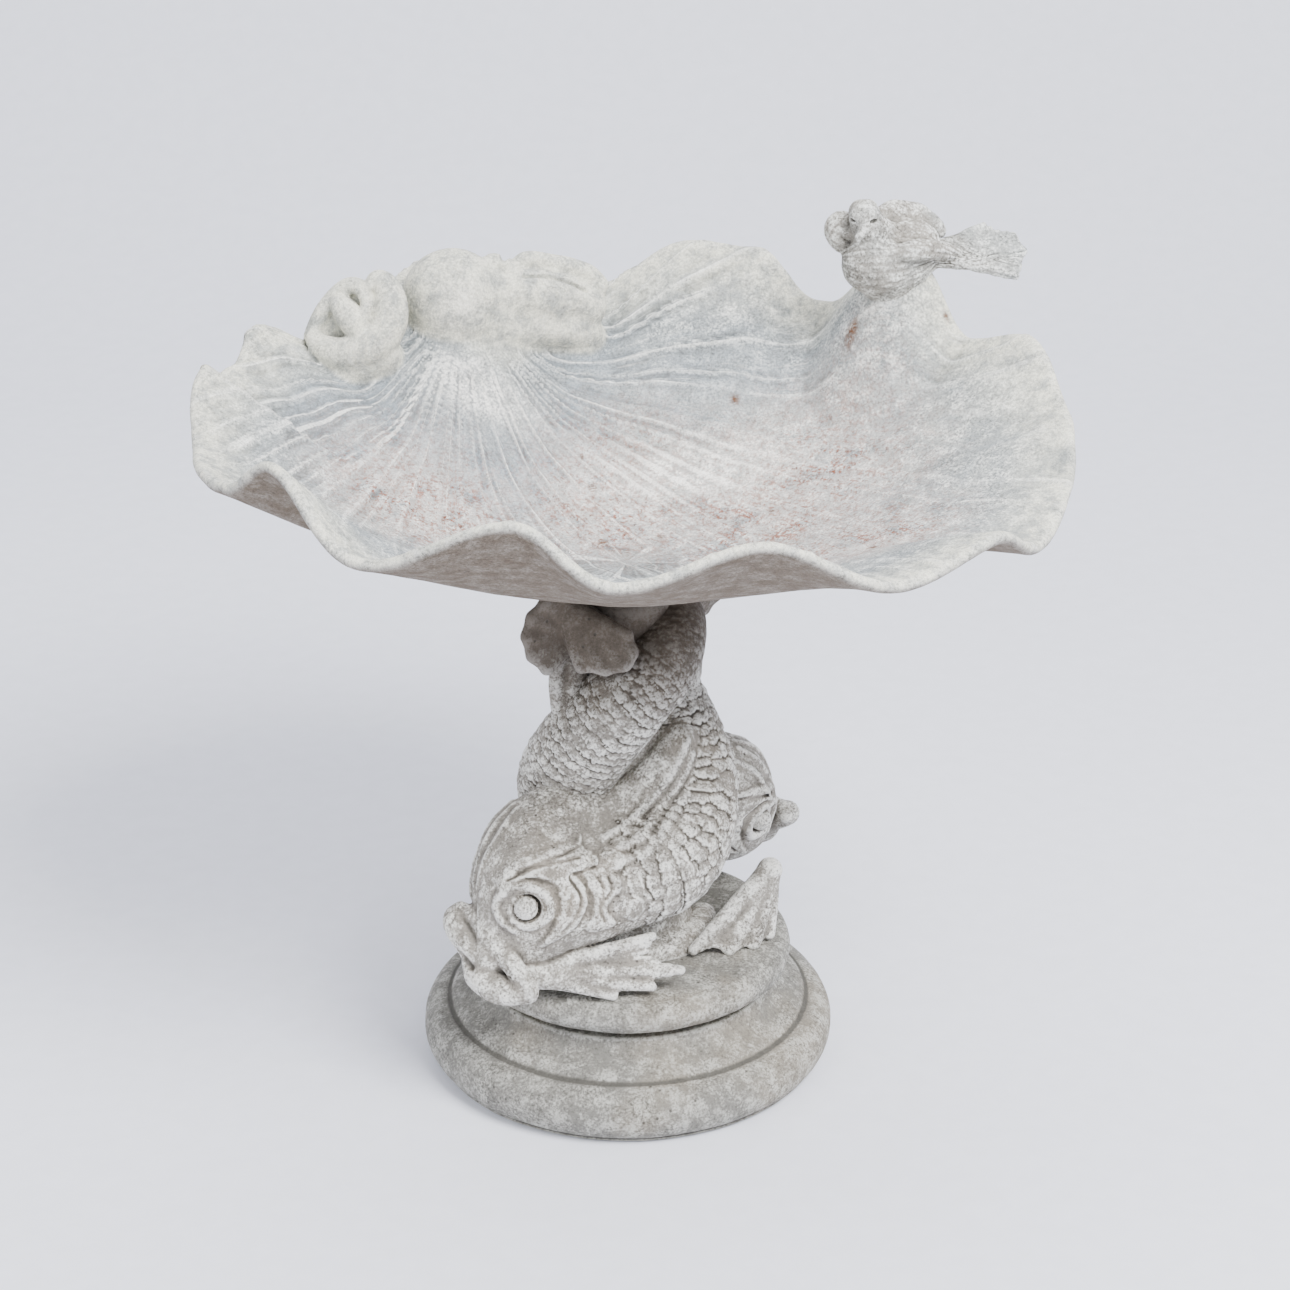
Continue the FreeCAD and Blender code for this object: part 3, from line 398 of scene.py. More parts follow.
# ------------------------------------------------------------------ meshes
def new_object(name, points, faces):
    """A smooth-shaded mesh object made from points in millimetres."""
    mesh = bpy.data.meshes.new(name)
    mesh.vertices.add(len(points))
    mesh.vertices.foreach_set("co", (np.asarray(points) * MILLIMETRE).astype(np.float32).ravel())
    faces = np.asarray(faces)
    mesh.loops.add(faces.size)
    mesh.loops.foreach_set("vertex_index", faces.ravel())
    mesh.polygons.add(len(faces))
    mesh.polygons.foreach_set("loop_start", np.arange(0, faces.size, faces.shape[1]))
    mesh.polygons.foreach_set("use_smooth", np.ones(len(faces), bool))
    mesh.update(calc_edges=True)
    mesh.validate()
    piece = bpy.data.objects.new(name, mesh)
    bpy.context.scene.collection.objects.link(piece)
    return piece


def points_of(mesh):
    """The mesh's points in millimetres."""
    flat = np.empty(len(mesh.vertices) * 3, np.float32)
    mesh.vertices.foreach_get("co", flat)
    return flat.reshape(-1, 3).astype(float) / MILLIMETRE


def normals_of(mesh):
    """The mesh's point normals."""
    flat = np.empty(len(mesh.vertices) * 3, np.float32)
    mesh.vertex_normals.foreach_get("vector", flat)
    return flat.reshape(-1, 3).astype(float)


def put(mesh, name, values):
    """Stores one number or one vector per point."""
    values = np.asarray(values, np.float32)
    kind = "FLOAT" if values.ndim == 1 else "FLOAT_VECTOR"
    layer = mesh.attributes.get(name) or mesh.attributes.new(name, kind, "POINT")
    layer.data.foreach_set("value" if values.ndim == 1 else "vector", values.ravel())


def add_relief(mesh, rounds=5):
    """Stores how far each point stands out of its surroundings, in mm: crests above 0, creases below."""
    points = points_of(mesh)
    edges = np.empty(len(mesh.edges) * 2, np.int32)
    mesh.edges.foreach_get("vertices", edges)
    one, two = edges.reshape(-1, 2).T
    both, others = np.concatenate([one, two]), np.concatenate([two, one])
    degree = np.maximum(np.bincount(both, minlength=len(points)), 1)[:, None]
    smooth = points.copy()
    for _ in range(rounds):
        summed = np.stack([np.bincount(both, smooth[others, k], len(points)) for k in range(3)], 1)
        smooth = (smooth + summed / degree) / 2
    put(mesh, "relief", ((points - smooth) * normals_of(mesh)).sum(1))


# ------------------------------------------------------------------ node helpers
def linear(colour):
    """A hex sRGB colour as linear red, green, blue and alpha."""
    parts = [int(colour[k:k + 2], 16) / 255 for k in (1, 3, 5)]
    return tuple(p / 12.92 if p <= 0.04045 else ((p + 0.055) / 1.055) ** 2.4 for p in parts) + (1.0,)


def add(tree, kind, settings=None, **inputs):
    """Adds a node, sets its properties and fills or links its inputs: i0 is the first, _ is a space."""
    node = tree.nodes.new(kind)
    for key, value in (settings or {}).items():
        setattr(node, key, value)
    for key, value in inputs.items():
        numbered = key[0] == "i" and key[1:].isdigit()
        socket = node.inputs[int(key[1:]) if numbered else key.replace("_", " ")]
        if isinstance(value, bpy.types.NodeSocket):
            tree.links.new(value, socket)
        else:
            socket.default_value = value
    return node


def calc(tree, operation, *values):
    """A maths node's result."""
    inputs = {"i%d" % number: value for number, value in enumerate(values)}
    return add(tree, "ShaderNodeMath", {"operation": operation}, **inputs).outputs[0]


def times(tree, first, *others):
    """The product of two or more values."""
    for value in others:
        first = calc(tree, "MULTIPLY", first, value)
    return first


def between(tree, value, low, high, to_low=0.0, to_high=1.0):
    """A value brought softly from one range to another."""
    node = add(tree, "ShaderNodeMapRange", {"interpolation_type": "SMOOTHSTEP"}, Value=value, From_Min=low,
               From_Max=high, To_Min=to_low, To_Max=to_high)
    return node.outputs[0]


def noise(tree, place, scale, detail=3.0, rough=0.55):
    """Noise at a place, around 0.5."""
    node = add(tree, "ShaderNodeTexNoise", None, Vector=place, Scale=scale, Detail=detail, Roughness=rough)
    return node.outputs[0]


def scaled(tree, vector, factor):
    """A vector times a number."""
    node = add(tree, "ShaderNodeVectorMath", {"operation": "SCALE"}, i0=vector, Scale=factor)
    return node.outputs[0]


def split(tree, vector):
    """A vector's three parts."""
    return add(tree, "ShaderNodeSeparateXYZ", None, Vector=vector).outputs


def stored(tree, name, output="Fac"):
    """A value stored on the mesh, read in a material."""
    return add(tree, "ShaderNodeAttribute", {"attribute_name": name}).outputs[output]


def mapped(tree, name):
    """A vector stored on the mesh, read in a geometry tree."""
    return add(tree, "GeometryNodeInputNamedAttribute", {"data_type": "FLOAT_VECTOR"}, Name=name).outputs[0]


# ------------------------------------------------------------------ geometry node trees
WEAR_SOCKETS = (("Lump Scale", "NodeSocketFloat"), ("Lump Height", "NodeSocketFloat"),
                ("Grain Height", "NodeSocketFloat"), ("Material", "NodeSocketMaterial"))


def new_tree(name, *sockets):
    """A geometry node tree with its own named inputs and those of wear; also its inputs and output node."""
    tree = bpy.data.node_groups.new(name, "GeometryNodeTree")
    tree.interface.new_socket("Geometry", in_out="INPUT", socket_type="NodeSocketGeometry")
    for label, kind in sockets + WEAR_SOCKETS:
        tree.interface.new_socket(label, in_out="INPUT", socket_type=kind)
    tree.interface.new_socket("Geometry", in_out="OUTPUT", socket_type="NodeSocketGeometry")
    return tree, tree.nodes.new("NodeGroupInput").outputs, tree.nodes.new("NodeGroupOutput")


def close_tree(tree, geometry, material, end):
    """Realizes what was made, gives it its material and hands it out."""
    real = add(tree, "GeometryNodeRealizeInstances", None, Geometry=geometry)
    smooth = add(tree, "GeometryNodeSetShadeSmooth", None, Geometry=real.outputs[0])
    done = add(tree, "GeometryNodeSetMaterial", None, Geometry=smooth.outputs[0], Material=material)
    tree.links.new(done.outputs[0], end.inputs[0])


def run_tree(piece, tree, values):
    """Runs a tree on an object with its inputs set, and keeps the result as a plain mesh."""
    modifier = piece.modifiers.new(tree.name, "NODES")
    modifier.node_group = tree
    for item in tree.interface.items_tree:
        if item.item_type == "SOCKET" and item.in_out == "INPUT" and item.name in values:
            modifier[item.identifier] = values[item.name]
    piece.update_tag()
    bpy.context.view_layer.update()
    made = piece.evaluated_get(bpy.context.evaluated_depsgraph_get())
    mesh = bpy.data.meshes.new_from_object(made)
    piece.modifiers.remove(modifier)
    old = piece.data
    piece.data = mesh
    name = old.name
    bpy.data.meshes.remove(old)
    mesh.name = name
    return piece


def wear(sizes, material, lump_scale, lump_times=1.0):
    """The wear inputs of a tree: soft lumps of a size, fine grain and the material."""
    return {"Lump Scale": lump_scale, "Lump Height": sizes.lump * MILLIMETRE * lump_times,
            "Grain Height": sizes.grain * MILLIMETRE, "Material": material}


def finish_surface(piece, rounds, stain_and_shade_level=0.0):
    """Stores what the stone materials read: the relief, and how far the whole piece is darkened with dirt and
    painted shade.
    """
    add_relief(piece.data, rounds)
    put(piece.data, "stain_and_shade", np.full(len(piece.data.vertices), stain_and_shade_level))


def weather_offset(tree, ins, place):
    """Height of the worn cast surface: soft lumps and fine grain."""
    lumps = calc(tree, "SUBTRACT", noise(tree, place, ins["Lump Scale"], 2.0), 0.5)
    grain = calc(tree, "SUBTRACT", noise(tree, place, 420.0, 2.0), 0.5)
    return calc(tree, "ADD", times(tree, lumps, ins["Lump Height"]), times(tree, grain, ins["Grain Height"]))


def pushed(tree, geometry, height):
    """Moves the surface along its normals."""
    normal = tree.nodes.new("GeometryNodeInputNormal").outputs[0]
    node = add(tree, "GeometryNodeSetPosition", None, Geometry=geometry, Offset=scaled(tree, normal, height))
    return node.outputs[0]


def scale_tree():
    """Overlapping fish scales of uneven size, laid out on a stored map of the body."""
    tree, ins, end = new_tree("fish_scales", ("Scale Height", "NodeSocketFloat"))
    place = tree.nodes.new("GeometryNodeInputPosition").outputs[0]
    coat = mapped(tree, "coat")
    parts = split(tree, coat)
    cells = add(tree, "ShaderNodeTexVoronoi", {"voronoi_dimensions": "2D"}, Vector=coat, Scale=1.0,
                Randomness=0.62)
    middle = split(tree, cells.outputs["Position"])
    dome = calc(tree, "SUBTRACT", 0.55, calc(tree, "POWER", cells.outputs["Distance"], 2.0))
    tilt = times(tree, calc(tree, "SUBTRACT", parts[0], middle[0]), -0.75)
    worn = between(tree, noise(tree, place, 45.0, 2.0), 0.3, 0.6, 0.35, 1.15)
    scales = times(tree, calc(tree, "ADD", dome, tilt), worn, parts[2], ins["Scale Height"])
    height = calc(tree, "ADD", scales, weather_offset(tree, ins, place))
    close_tree(tree, pushed(tree, ins[0], height), ins["Material"], end)
    return tree


def rib_tree():
    """Fine ribs that fan out from the hinge of the shell, on a stored map of the basin."""
    tree, ins, end = new_tree("shell_ribs", ("Rib Height", "NodeSocketFloat"))
    place = tree.nodes.new("GeometryNodeInputPosition").outputs[0]
    fan = mapped(tree, "fan")
    parts = split(tree, fan)
    saw = calc(tree, "FRACT", parts[0])
    crest = between(tree, saw, 0.72, 0.97)
    drop = calc(tree, "SUBTRACT", 1.0, between(tree, saw, 0.0, 0.16))
    step = calc(tree, "SUBTRACT", calc(tree, "MAXIMUM", crest, drop), 0.35)
    uneven = between(tree, noise(tree, scaled(tree, fan, 0.8), 1.0, 1.0), 0.3, 0.7, 0.2, 1.4)
    ribs = times(tree, step, uneven, parts[2], ins["Rib Height"])
    height = calc(tree, "ADD", ribs, weather_offset(tree, ins, place))
    close_tree(tree, pushed(tree, ins[0], height), ins["Material"], end)
    return tree


def moulding_tree():
    """A profile turned round the upright axis, then worn."""
    tree, ins, end = new_tree("turned_moulding", ("Steps Round", "NodeSocketInt"),
                              ("Steps Along", "NodeSocketInt"))
    profile = add(tree, "GeometryNodeMeshToCurve", None, Mesh=ins[0]).outputs[0]
    grid = add(tree, "GeometryNodeMeshGrid", None, Vertices_X=ins["Steps Round"],
               Vertices_Y=ins["Steps Along"])
    parts = split(tree, grid.outputs["UV Map"])
    sample = add(tree, "GeometryNodeSampleCurve", {"mode": "FACTOR", "use_all_curves": True}, Curves=profile,
                 Factor=parts[1])
    cross = split(tree, sample.outputs["Position"])
    turn = times(tree, parts[0], math.tau)
    x = times(tree, cross[0], calc(tree, "COSINE", turn))
    y = times(tree, cross[0], calc(tree, "SINE", turn))
    round_place = add(tree, "ShaderNodeCombineXYZ", None, X=x, Y=y, Z=cross[2]).outputs[0]
    turned = add(tree, "GeometryNodeSetPosition", None, Geometry=grid.outputs[0], Position=round_place)
    closed = add(tree, "GeometryNodeMergeByDistance", None, Geometry=turned.outputs[0], Distance=0.00002)
    closed = closed.outputs[0]
    place = tree.nodes.new("GeometryNodeInputPosition").outputs[0]
    close_tree(tree, pushed(tree, closed, weather_offset(tree, ins, place)), ins["Material"], end)
    return tree


# ------------------------------------------------------------------ materials
def new_material(name):
    """A material with its node tree, its shader and each point's place on the object."""
    material = bpy.data.materials.new(name)
    material.use_nodes = True
    tree = material.node_tree
    place = tree.nodes.new("ShaderNodeTexCoord").outputs["Object"]
    return material, tree, tree.nodes["Principled BSDF"], place


def mixed(tree, factor, one, two):
    """Two colours mixed by a factor; each is hex text or another node's result."""
    node = add(tree, "ShaderNodeMix", {"data_type": "RGBA"}, i0=factor)
    for socket, value in ((node.inputs[6], one), (node.inputs[7], two)):
        if isinstance(value, bpy.types.NodeSocket):
            tree.links.new(value, socket)
        else:
            socket.default_value = linear(value)
    return node.outputs[2]


def bowl_tone(tree, place, tone, mottle, whiter):
    """The bowl's colours laid over a stone tone: streaks, painted highlight and painted shade on the ribs,
    silt, rust, lime and marks.
    """
    fan = stored(tree, "fan", "Vector")
    parts = split(tree, fan)
    streak_place = add(tree, "ShaderNodeMapping", None, Vector=fan, Scale=(1.2, 0.3, 0.0)).outputs[0]
    streaks = noise(tree, streak_place, 2.0, 5.0, 0.65)
    tone = mixed(tree, between(tree, streaks, 0.48, 0.72, 0.0, 0.45), tone, "#A3ABB1")
    blue = times(tree, stored(tree, "hinge_shade"), between(tree, mottle, 0.3, 0.65, 0.35, 0.85))
    tone = mixed(tree, blue, tone, "#8D979F")
    cream = times(tree, stored(tree, "rim_cream"), between(tree, mottle, 0.35, 0.6, 0.3, 0.9))
    tone = mixed(tree, cream, tone, "#DEDCCC")
    fine_place = add(tree, "ShaderNodeMapping", None, Vector=fan, Scale=(6.0, 0.4, 0.0)).outputs[0]
    hair = noise(tree, fine_place, 2.0, 4.0, 0.7)
    tone = mixed(tree, between(tree, hair, 0.56, 0.68, 0.0, 0.4), tone, "#E6E7E3")
    tone = mixed(tree, between(tree, hair, 0.46, 0.34, 0.0, 0.35), tone, "#7F868A")
    # Painted highlight on the rib crests and painted shade on the step side of each rib, where the ribs are
    # clear
    saw = calc(tree, "FRACT", parts[0])
    worn = between(tree, noise(tree, scaled(tree, fan, 0.8), 1.0, 3.0, 0.6), 0.35, 0.6)
    clear = times(tree, parts[2], worn)
    tone = mixed(tree, times(tree, between(tree, saw, 0.90, 0.96), clear, 0.85), tone, "#F0F0EC")
    tone = mixed(tree, times(tree, between(tree, saw, 0.13, 0.03), clear, 0.6), tone, "#6E757A")
    mud = stored(tree, "silt")
    drift = noise(tree, place, 42.0, 5.0, 0.7)
    spots = noise(tree, place, 360.0, 5.0, 0.75)
    tone = mixed(tree, times(tree, mud, between(tree, drift, 0.36, 0.52), 0.5), tone, "#E9E1DA")
    ruddy = calc(tree, "ADD", spots, times(tree, calc(tree, "SUBTRACT", hair, 0.5), 0.5))
    rust = times(tree, mud, between(tree, ruddy, 0.47, 0.6), between(tree, drift, 0.35, 0.6, 1.0, 0.6))
    tone = mixed(tree, rust, tone, "#8F5238")
    deep = between(tree, noise(tree, place, 300.0, 2.0, 0.8), 0.66, 0.70)
    tone = mixed(tree, times(tree, mud, deep, 0.9), tone, "#5C3729")
    lime = times(tree, stored(tree, "lime"), between(tree, whiter, 0.42, 0.6, 0.25, 0.95))
    tone = mixed(tree, lime, tone, "#FBF7F1")
    return mixed(tree, times(tree, stored(tree, "mark"), between(tree, spots, 0.3, 0.55)), tone, "#6B4A36")


def stone(name, mid, light, dark, warm="#9C8B78", bloom_and_highlight=0.5, pits=0.5, shade_top=None, bowl=False):
    """Weathered cast stone: mottled tones, lime bloom and painted highlight on the crests, dirt and painted
    shade in the creases, and fine pits.
    """
    material, tree, shader, place = new_material(name)
    relief = stored(tree, "relief")
    clouds = noise(tree, place, 13.0, 4.0)
    mottle = noise(tree, place, 95.0, 8.0, 0.72)
    flecks = noise(tree, place, 620.0, 5.0, 0.75)
    grains = noise(tree, place, 2400.0, 2.0, 0.6)
    cloudy = times(tree, between(tree, clouds, 0.45, 0.7), 0.45)
    tone = mixed(tree, cloudy, mid, "#C2C3BA" if bowl else warm)
    # Crests lightened by the relief: lime bloom together with a painted highlight
    whiter = calc(tree, "ADD", times(tree, calc(tree, "ADD", mottle, flecks), 0.5),
                  times(tree, relief, 0.5 * bloom_and_highlight))
    tone = mixed(tree, between(tree, whiter, 0.48, 0.62, 0.0, 0.5 + 0.5 * bloom_and_highlight), tone, light)
    dusty = calc(tree, "ADD", times(tree, calc(tree, "SUBTRACT", 1.0, flecks), 0.7),
                 times(tree, noise(tree, place, 38.0, 6.0, 0.7), 0.3))
    tone = mixed(tree, between(tree, dusty, 0.50, 0.64, 0.0, 0.7), tone, dark)
    # Creases darkened by the relief: painted shade together with dirt
    tone = mixed(tree, between(tree, relief, -0.05, -0.4, 0.0, 0.85), tone, dark)
    if bowl:
        tone = bowl_tone(tree, place, tone, mottle, whiter)
    # Dirt and painted shade: the stored underside and the boss darkened to the warm tone
    dirt_and_shade = times(tree, stored(tree, "stain_and_shade"), between(tree, mottle, 0.3, 0.7, 1.0, 0.85))
    tone = mixed(tree, dirt_and_shade, tone, warm)
    # Painted shade under the basin, together with dirt: darker towards the top of the column
    if shade_top:
        height = calc(tree, "ADD", split(tree, place)[2], times(tree, clouds, 0.05))
        tone = mixed(tree, between(tree, height, *shade_top), tone, "#554C43")
    grit = 0.14 if bowl else 0.06
    salt = times(tree, between(tree, grains, 0.35, 0.65, 1 - 1.2 * grit, 1 + grit),
                 between(tree, flecks, 0.36, 0.62, 1 - 1.4 * grit, 1 + grit),
                 between(tree, mottle, 0.36, 0.64, 0.86, 1.1))
    tone = scaled(tree, tone, salt)
    holes = add(tree, "ShaderNodeTexVoronoi", None, Vector=place, Scale=160.0, Randomness=1.0)
    hole = between(tree, holes.outputs["Distance"], 0.10, 0.17, 1.0, 0.0)
    some = between(tree, noise(tree, place, 30.0, 2.0), 0.53, 0.6)
    pit = times(tree, hole, some, pits)
    tone = mixed(tree, times(tree, pit, 0.8), tone, "#3E3A35")
    tree.links.new(tone, shader.inputs["Base Color"])
    shader.inputs["Roughness"].default_value = 0.9
    shader.inputs["Specular IOR Level"].default_value = 0.25
    rough = calc(tree, "ADD", times(tree, flecks, 0.6), times(tree, grains, 0.35))
    surface = calc(tree, "SUBTRACT", calc(tree, "ADD", rough, times(tree, mottle, 0.8)),
                   times(tree, pit, 1.5))
    bump = add(tree, "ShaderNodeBump", None, Height=surface, Strength=0.55, Distance=0.0006)
    tree.links.new(bump.outputs[0], shader.inputs["Normal"])
    return material


def metal(name, base, spot, rough, metallic, scale):
    """Metal with uneven oxide and fine scratches."""
    material, tree, shader, place = new_material(name)
    oxide = noise(tree, place, scale, 5.0, 0.6)
    tree.links.new(mixed(tree, between(tree, oxide, 0.45, 0.62), base, spot), shader.inputs["Base Color"])
    shader.inputs["Metallic"].default_value = metallic
    tree.links.new(between(tree, oxide, 0.3, 0.7, rough, rough + 0.25), shader.inputs["Roughness"])
    bump = add(tree, "ShaderNodeBump", None, Height=oxide, Strength=0.3, Distance=0.0003)
    tree.links.new(bump.outputs[0], shader.inputs["Normal"])
    return material


def tint(sizes, key):
    """A panel colour as the hex text the material helpers take."""
    return "#%02X%02X%02X" % tuple(round(255 * channel) for channel in getattr(sizes, key))


def cast_stone(sizes, which):
    """The material of one group of cast stone pieces."""
    made = bpy.data.materials.get(which)
    if made:
        return made
    if which == "cast_stone_basin":
        # Pale cast stone of the bowl, limed, with water silt in its lower part and its underside darkened
        # with dirt and painted shade
        return stone(which, tint(sizes, "basin_tone"), "#E6E6E1", "#5F6262", warm="#685C4F", bloom_and_highlight=0.6,
                     pits=0.35, bowl=True)
    if which == "cast_stone_dolphins":
        # Grey cast stone of the column, bloomed with lime and painted highlight on the scales, with dirt and
        # painted shade under the basin
        return stone(which, tint(sizes, "column_tone"), "#E4E3DD", "#3F3B35", warm="#9C907F", bloom_and_highlight=0.75,
                     pits=0.9, shade_top=(0.24, 0.325, 0.0, 0.93))
    if which == "cast_stone_bird":
        # The same stone as the bowl, scratched with feather lines
        return stone(which, "#A4A7A5", "#E8E9E5", "#3C3A36", bloom_and_highlight=0.7, pits=0.3)
    # Darker, smoother cast stone of the foot and plinth
    return stone(which, tint(sizes, "foot_tone"), "#BDBCB5", "#4F4D48", warm="#A09583", bloom_and_highlight=0.3, pits=0.9)


# ------------------------------------------------------------------ dolphins
def dolphin_spine():
    """The dolphin's spine as points with thickness, in millimetres."""
    return [(reach * math.cos(math.radians(turn)), reach * math.sin(math.radians(turn)), height, thick)
            for turn, reach, height, thick in DOLPHIN_SPINE]


def dolphin_clay(cell):
    """One dolphin modelled in clay: body, forehead, lips, eyes, brow, gills and fins."""
    clay = Clay(*DOLPHIN_BLOCK, cell)
    clay.rod(dolphin_spine(), 1.0, 8)
    for rod, soft in ((COIL_FILL, 8.0), (FOREHEAD, 22.0), (SNOUT, 10.0), (LIP_RIM, 3.0), (UPPER_LIP, 3.0),
                      (LOWER_LIP, 3.0)):
        clay.rod(rod, soft)
    clay.rod(MOUTH_LINE, 2.5, carve=True)
    for line in FOREHEAD_LINES:
        clay.rod(clay.drape(line, FOREHEAD_OUT), 2.0)
    for ridge in COIL_RIDGES:
        clay.rod(clay.drape(ridge, COIL_OUT), 3.0)
    near = np.array(HEAD_SIDE) / np.linalg.norm(HEAD_SIDE)
    across = np.cross((0, 0, 1), near)
    across /= np.linalg.norm(across)
    up = np.cross(near, across)
    near_eye = np.array(EYE_AT)
    far_eye = near_eye - 2 * float((near_eye - HEAD_MIDDLE) @ near) * near
    for eye, way in ((near_eye, near), (far_eye, -near)):
        for height, outline in LEAVES:
            clay.stamp(eye, across, up, way, outline, height)
        for line in LEAF_LINES:
            groove = [(*(eye + across * a + up * b), 1.1) for a, b in line]
            clay.rod(clay.drape(groove, way), 1.0, carve=True)
        clay.rod(clay.drape(eye_swirl(eye, across, up), way), 2.0)
        middle = np.array(clay.drape([(*eye, 0)], way)[0][:3])
        clay.ball(middle - way * EYE_SOCKET_DEPTH, EYE_SOCKET, 1.5, carve=True)
        clay.ball(middle - way * EYE_BALL_DEPTH, EYE_BALL, 0.5)
    clay.rod(LEDGE_ROLL, 9.0)
    clay.fan(BREAST_FIN_ROOT, BREAST_FIN_TIPS, web=1.3, rib=3.7, scallop=0.14, root_thick=8.0)
    clay.fan(SIDE_FIN_ROOT, SIDE_FIN_TIPS, web=2.0, rib=4.6, scallop=0.06, root_thick=6.0)
    for root, tips in TAIL_LOBES:
        clay.fan(root, tips, web=4.0, rib=5.6, scallop=0.0, root_thick=9.0, soft=2.0, between=3)
    for rod in BACK_FIN:
        clay.rod(rod, 3.0)
    clay.below(PLINTH_TOP)
    return clay


def eye_swirl(eye, across, up):
    """The raised ring round an eye, which runs out into a curl below it."""
    swirl = []
    for step in range(SWIRL_STEPS):
        angle = math.radians(SWIRL_START - SWIRL_TURN * step)
        reach = SWIRL_REACH - SWIRL_CLOSE * step
        thick = 1.4 + 1.7 * math.sin(math.pi * min(step + 2, 14) / 16)
        swirl.append((*(eye + across * reach * math.cos(angle) + up * reach * math.sin(angle)), thick))
    return swirl


def body_map(points):
    """For each point: how far along and round the body it is, in scales, and how scaly the body is there."""
    spine = spline(dolphin_spine(), 10)
    centres, thick = spine[:, :3], spine[:, 3]
    steps = np.linalg.norm(np.diff(centres, axis=0), axis=1)
    scale_length = np.clip(0.23 * thick, 4.5, 8.5)
    along = np.concatenate([[0], np.cumsum(steps / scale_length[:-1])])
    nearest = np.empty(len(points), int)
    for first in range(0, len(points), 20000):
        part = points[first:first + 20000]
        gaps = np.linalg.norm(part[:, None, :] - centres[None, :, :], axis=2) - thick[None, :]
        nearest[first:first + 20000] = gaps.argmin(1)
    way = np.gradient(centres, axis=0)
    way /= np.linalg.norm(way, axis=1)[:, None]
    outward = centres * (1, 1, 0)
    outward -= (outward * way).sum(1)[:, None] * way
    outward /= np.linalg.norm(outward, axis=1)[:, None]
    side = np.cross(way, outward)
    arm = points - centres[nearest]
    turn = np.arctan2((arm * side[nearest]).sum(1), (arm * outward[nearest]).sum(1))
    forward = (arm * way[nearest]).sum(1)
    along = along[nearest] + forward / scale_length[nearest]
    gap = np.linalg.norm(arm, axis=1) - thick[nearest]
    spot = nearest / (len(centres) - 1)
    scaly = np.clip((spot - 0.27) / 0.06, 0, 1) * np.clip((0.93 - spot) / 0.08, 0, 1)
    scaly *= np.clip((2.6 - np.abs(gap)) / 1.6, 0, 1)
    return np.stack([along, turn * 25 / math.tau, scaly], 1)


# ------------------------------------------------------------------ basin
def rim_at(turn):
    """Reach and height of the rim at each turn, easing from each crest to the next dip."""
    table = np.array([(t - 360, r, h) for t, r, h in RUFFLES[-1:]] + list(RUFFLES)
                     + [(t + 360, r, h) for t, r, h in RUFFLES[:1]], float)
    turn = np.mod(turn, 360.0)
    first = np.clip(np.searchsorted(table[:, 0], turn, side="right") - 1, 0, len(table) - 2)
    share = (turn - table[first, 0]) / (table[first + 1, 0] - table[first, 0])
    ease = (1 - np.cos(math.pi * share)) / 2
    return [table[first, k] + (table[first + 1, k] - table[first, k]) * ease for k in (1, 2)]


def swelling(x, y, at, radius, height):
    """Height of a smooth round lump."""
    away = np.clip(((x - at[0]) ** 2 + (y - at[1]) ** 2) / radius ** 2, 0, 1)
    return height * (1 - away) ** 2


def shell_point(turn, share):
    """Points on the basin's upper face: share 0 is the flat floor's edge and 1 the rim."""
    reach, height = rim_at(turn)
    out = (FLAT + (1 - FLAT) * share) * (1 + (reach - 1) * share ** RUFFLE_CURVE)
    angle = np.radians(turn)
    x, y = HALF_WIDTH * out * np.cos(angle), HALF_DEPTH * out * np.sin(angle)
    even = (RIM_FRONT + RIM_BACK) / 2 + (RIM_BACK - RIM_FRONT) / 2 * np.sin(angle)
    z = FLOOR + (even - FLOOR) * share ** BOWL_CURVE + (height - even) * share ** RUFFLE_CURVE
    fold_turn, fold_width, fold_rise = LEFT_FOLD
    fold = np.mod(turn - fold_turn + 180, 360) - 180
    rise = fold_rise * (1 - fold / fold_width) * np.clip(fold + 1.0, 0, 1)
    rise = np.where((fold > -1.0) & (fold < fold_width), rise, 0)
    z = z + rise * np.clip((share - FOLD_FROM) / (1 - FOLD_FROM), 0, 1) ** FOLD_CURVE
    z = z + swelling(x, y, DOME_AT, DOME_RADIUS, DOME_RISE)
    z = z + swelling(x, y, PERCH_AT, PERCH_RADIUS, PERCH_RISE)
    return np.stack([x, y, z], -1)


def shell_normal(turn, share):
    """The way the basin's upper face looks."""
    share = np.maximum(share, 0.02)
    outward = shell_point(turn, share) - shell_point(turn, share - 0.01)
    onward = shell_point(turn + 0.7, share) - shell_point(turn - 0.7, share)
    normal = np.cross(outward, onward)
    return normal / np.linalg.norm(normal, axis=-1)[..., None]


def fan_map(points):
    """For each point: its rib, how far from the hinge it is, and how clear the ribs are there."""
    x, y = points[:, 0] - HINGE[0], points[:, 1] - HINGE[1]
    away = np.hypot(x, y)
    angle = np.degrees(np.arctan2(y, x))
    angle = np.where(angle > 90, angle - 360, angle)
    low, high = np.full(len(points), -290.0), np.full(len(points), 120.0)
    for _ in range(18):
        leaves = (low + high) / 2
        bend = np.interp(leaves, RIB_LEAVES, RIB_BENDS)
        bent = leaves + bend * (RIB_EVEN_AT - np.minimum(away, RIB_BEND_TO))
        low, high = np.where(bent < angle, leaves, low), np.where(bent < angle, high, leaves)
    clear = np.clip((away - RIBS_FROM) / RIBS_GROW, 0, 1) * np.clip((leaves + 235) / 20, 0, 1)
    clear *= RIBS_FAINT + (1 - RIBS_FAINT) * np.clip((RIBS_FADE_AT - away) / RIBS_FADE, 0, 1)
    uneven = 0.3 * np.sin(leaves * 0.35) + 0.2 * np.sin(leaves * 0.83 + 1)
    return np.stack([leaves / RIB_STEP + uneven, away / 25.0, clear], 1)


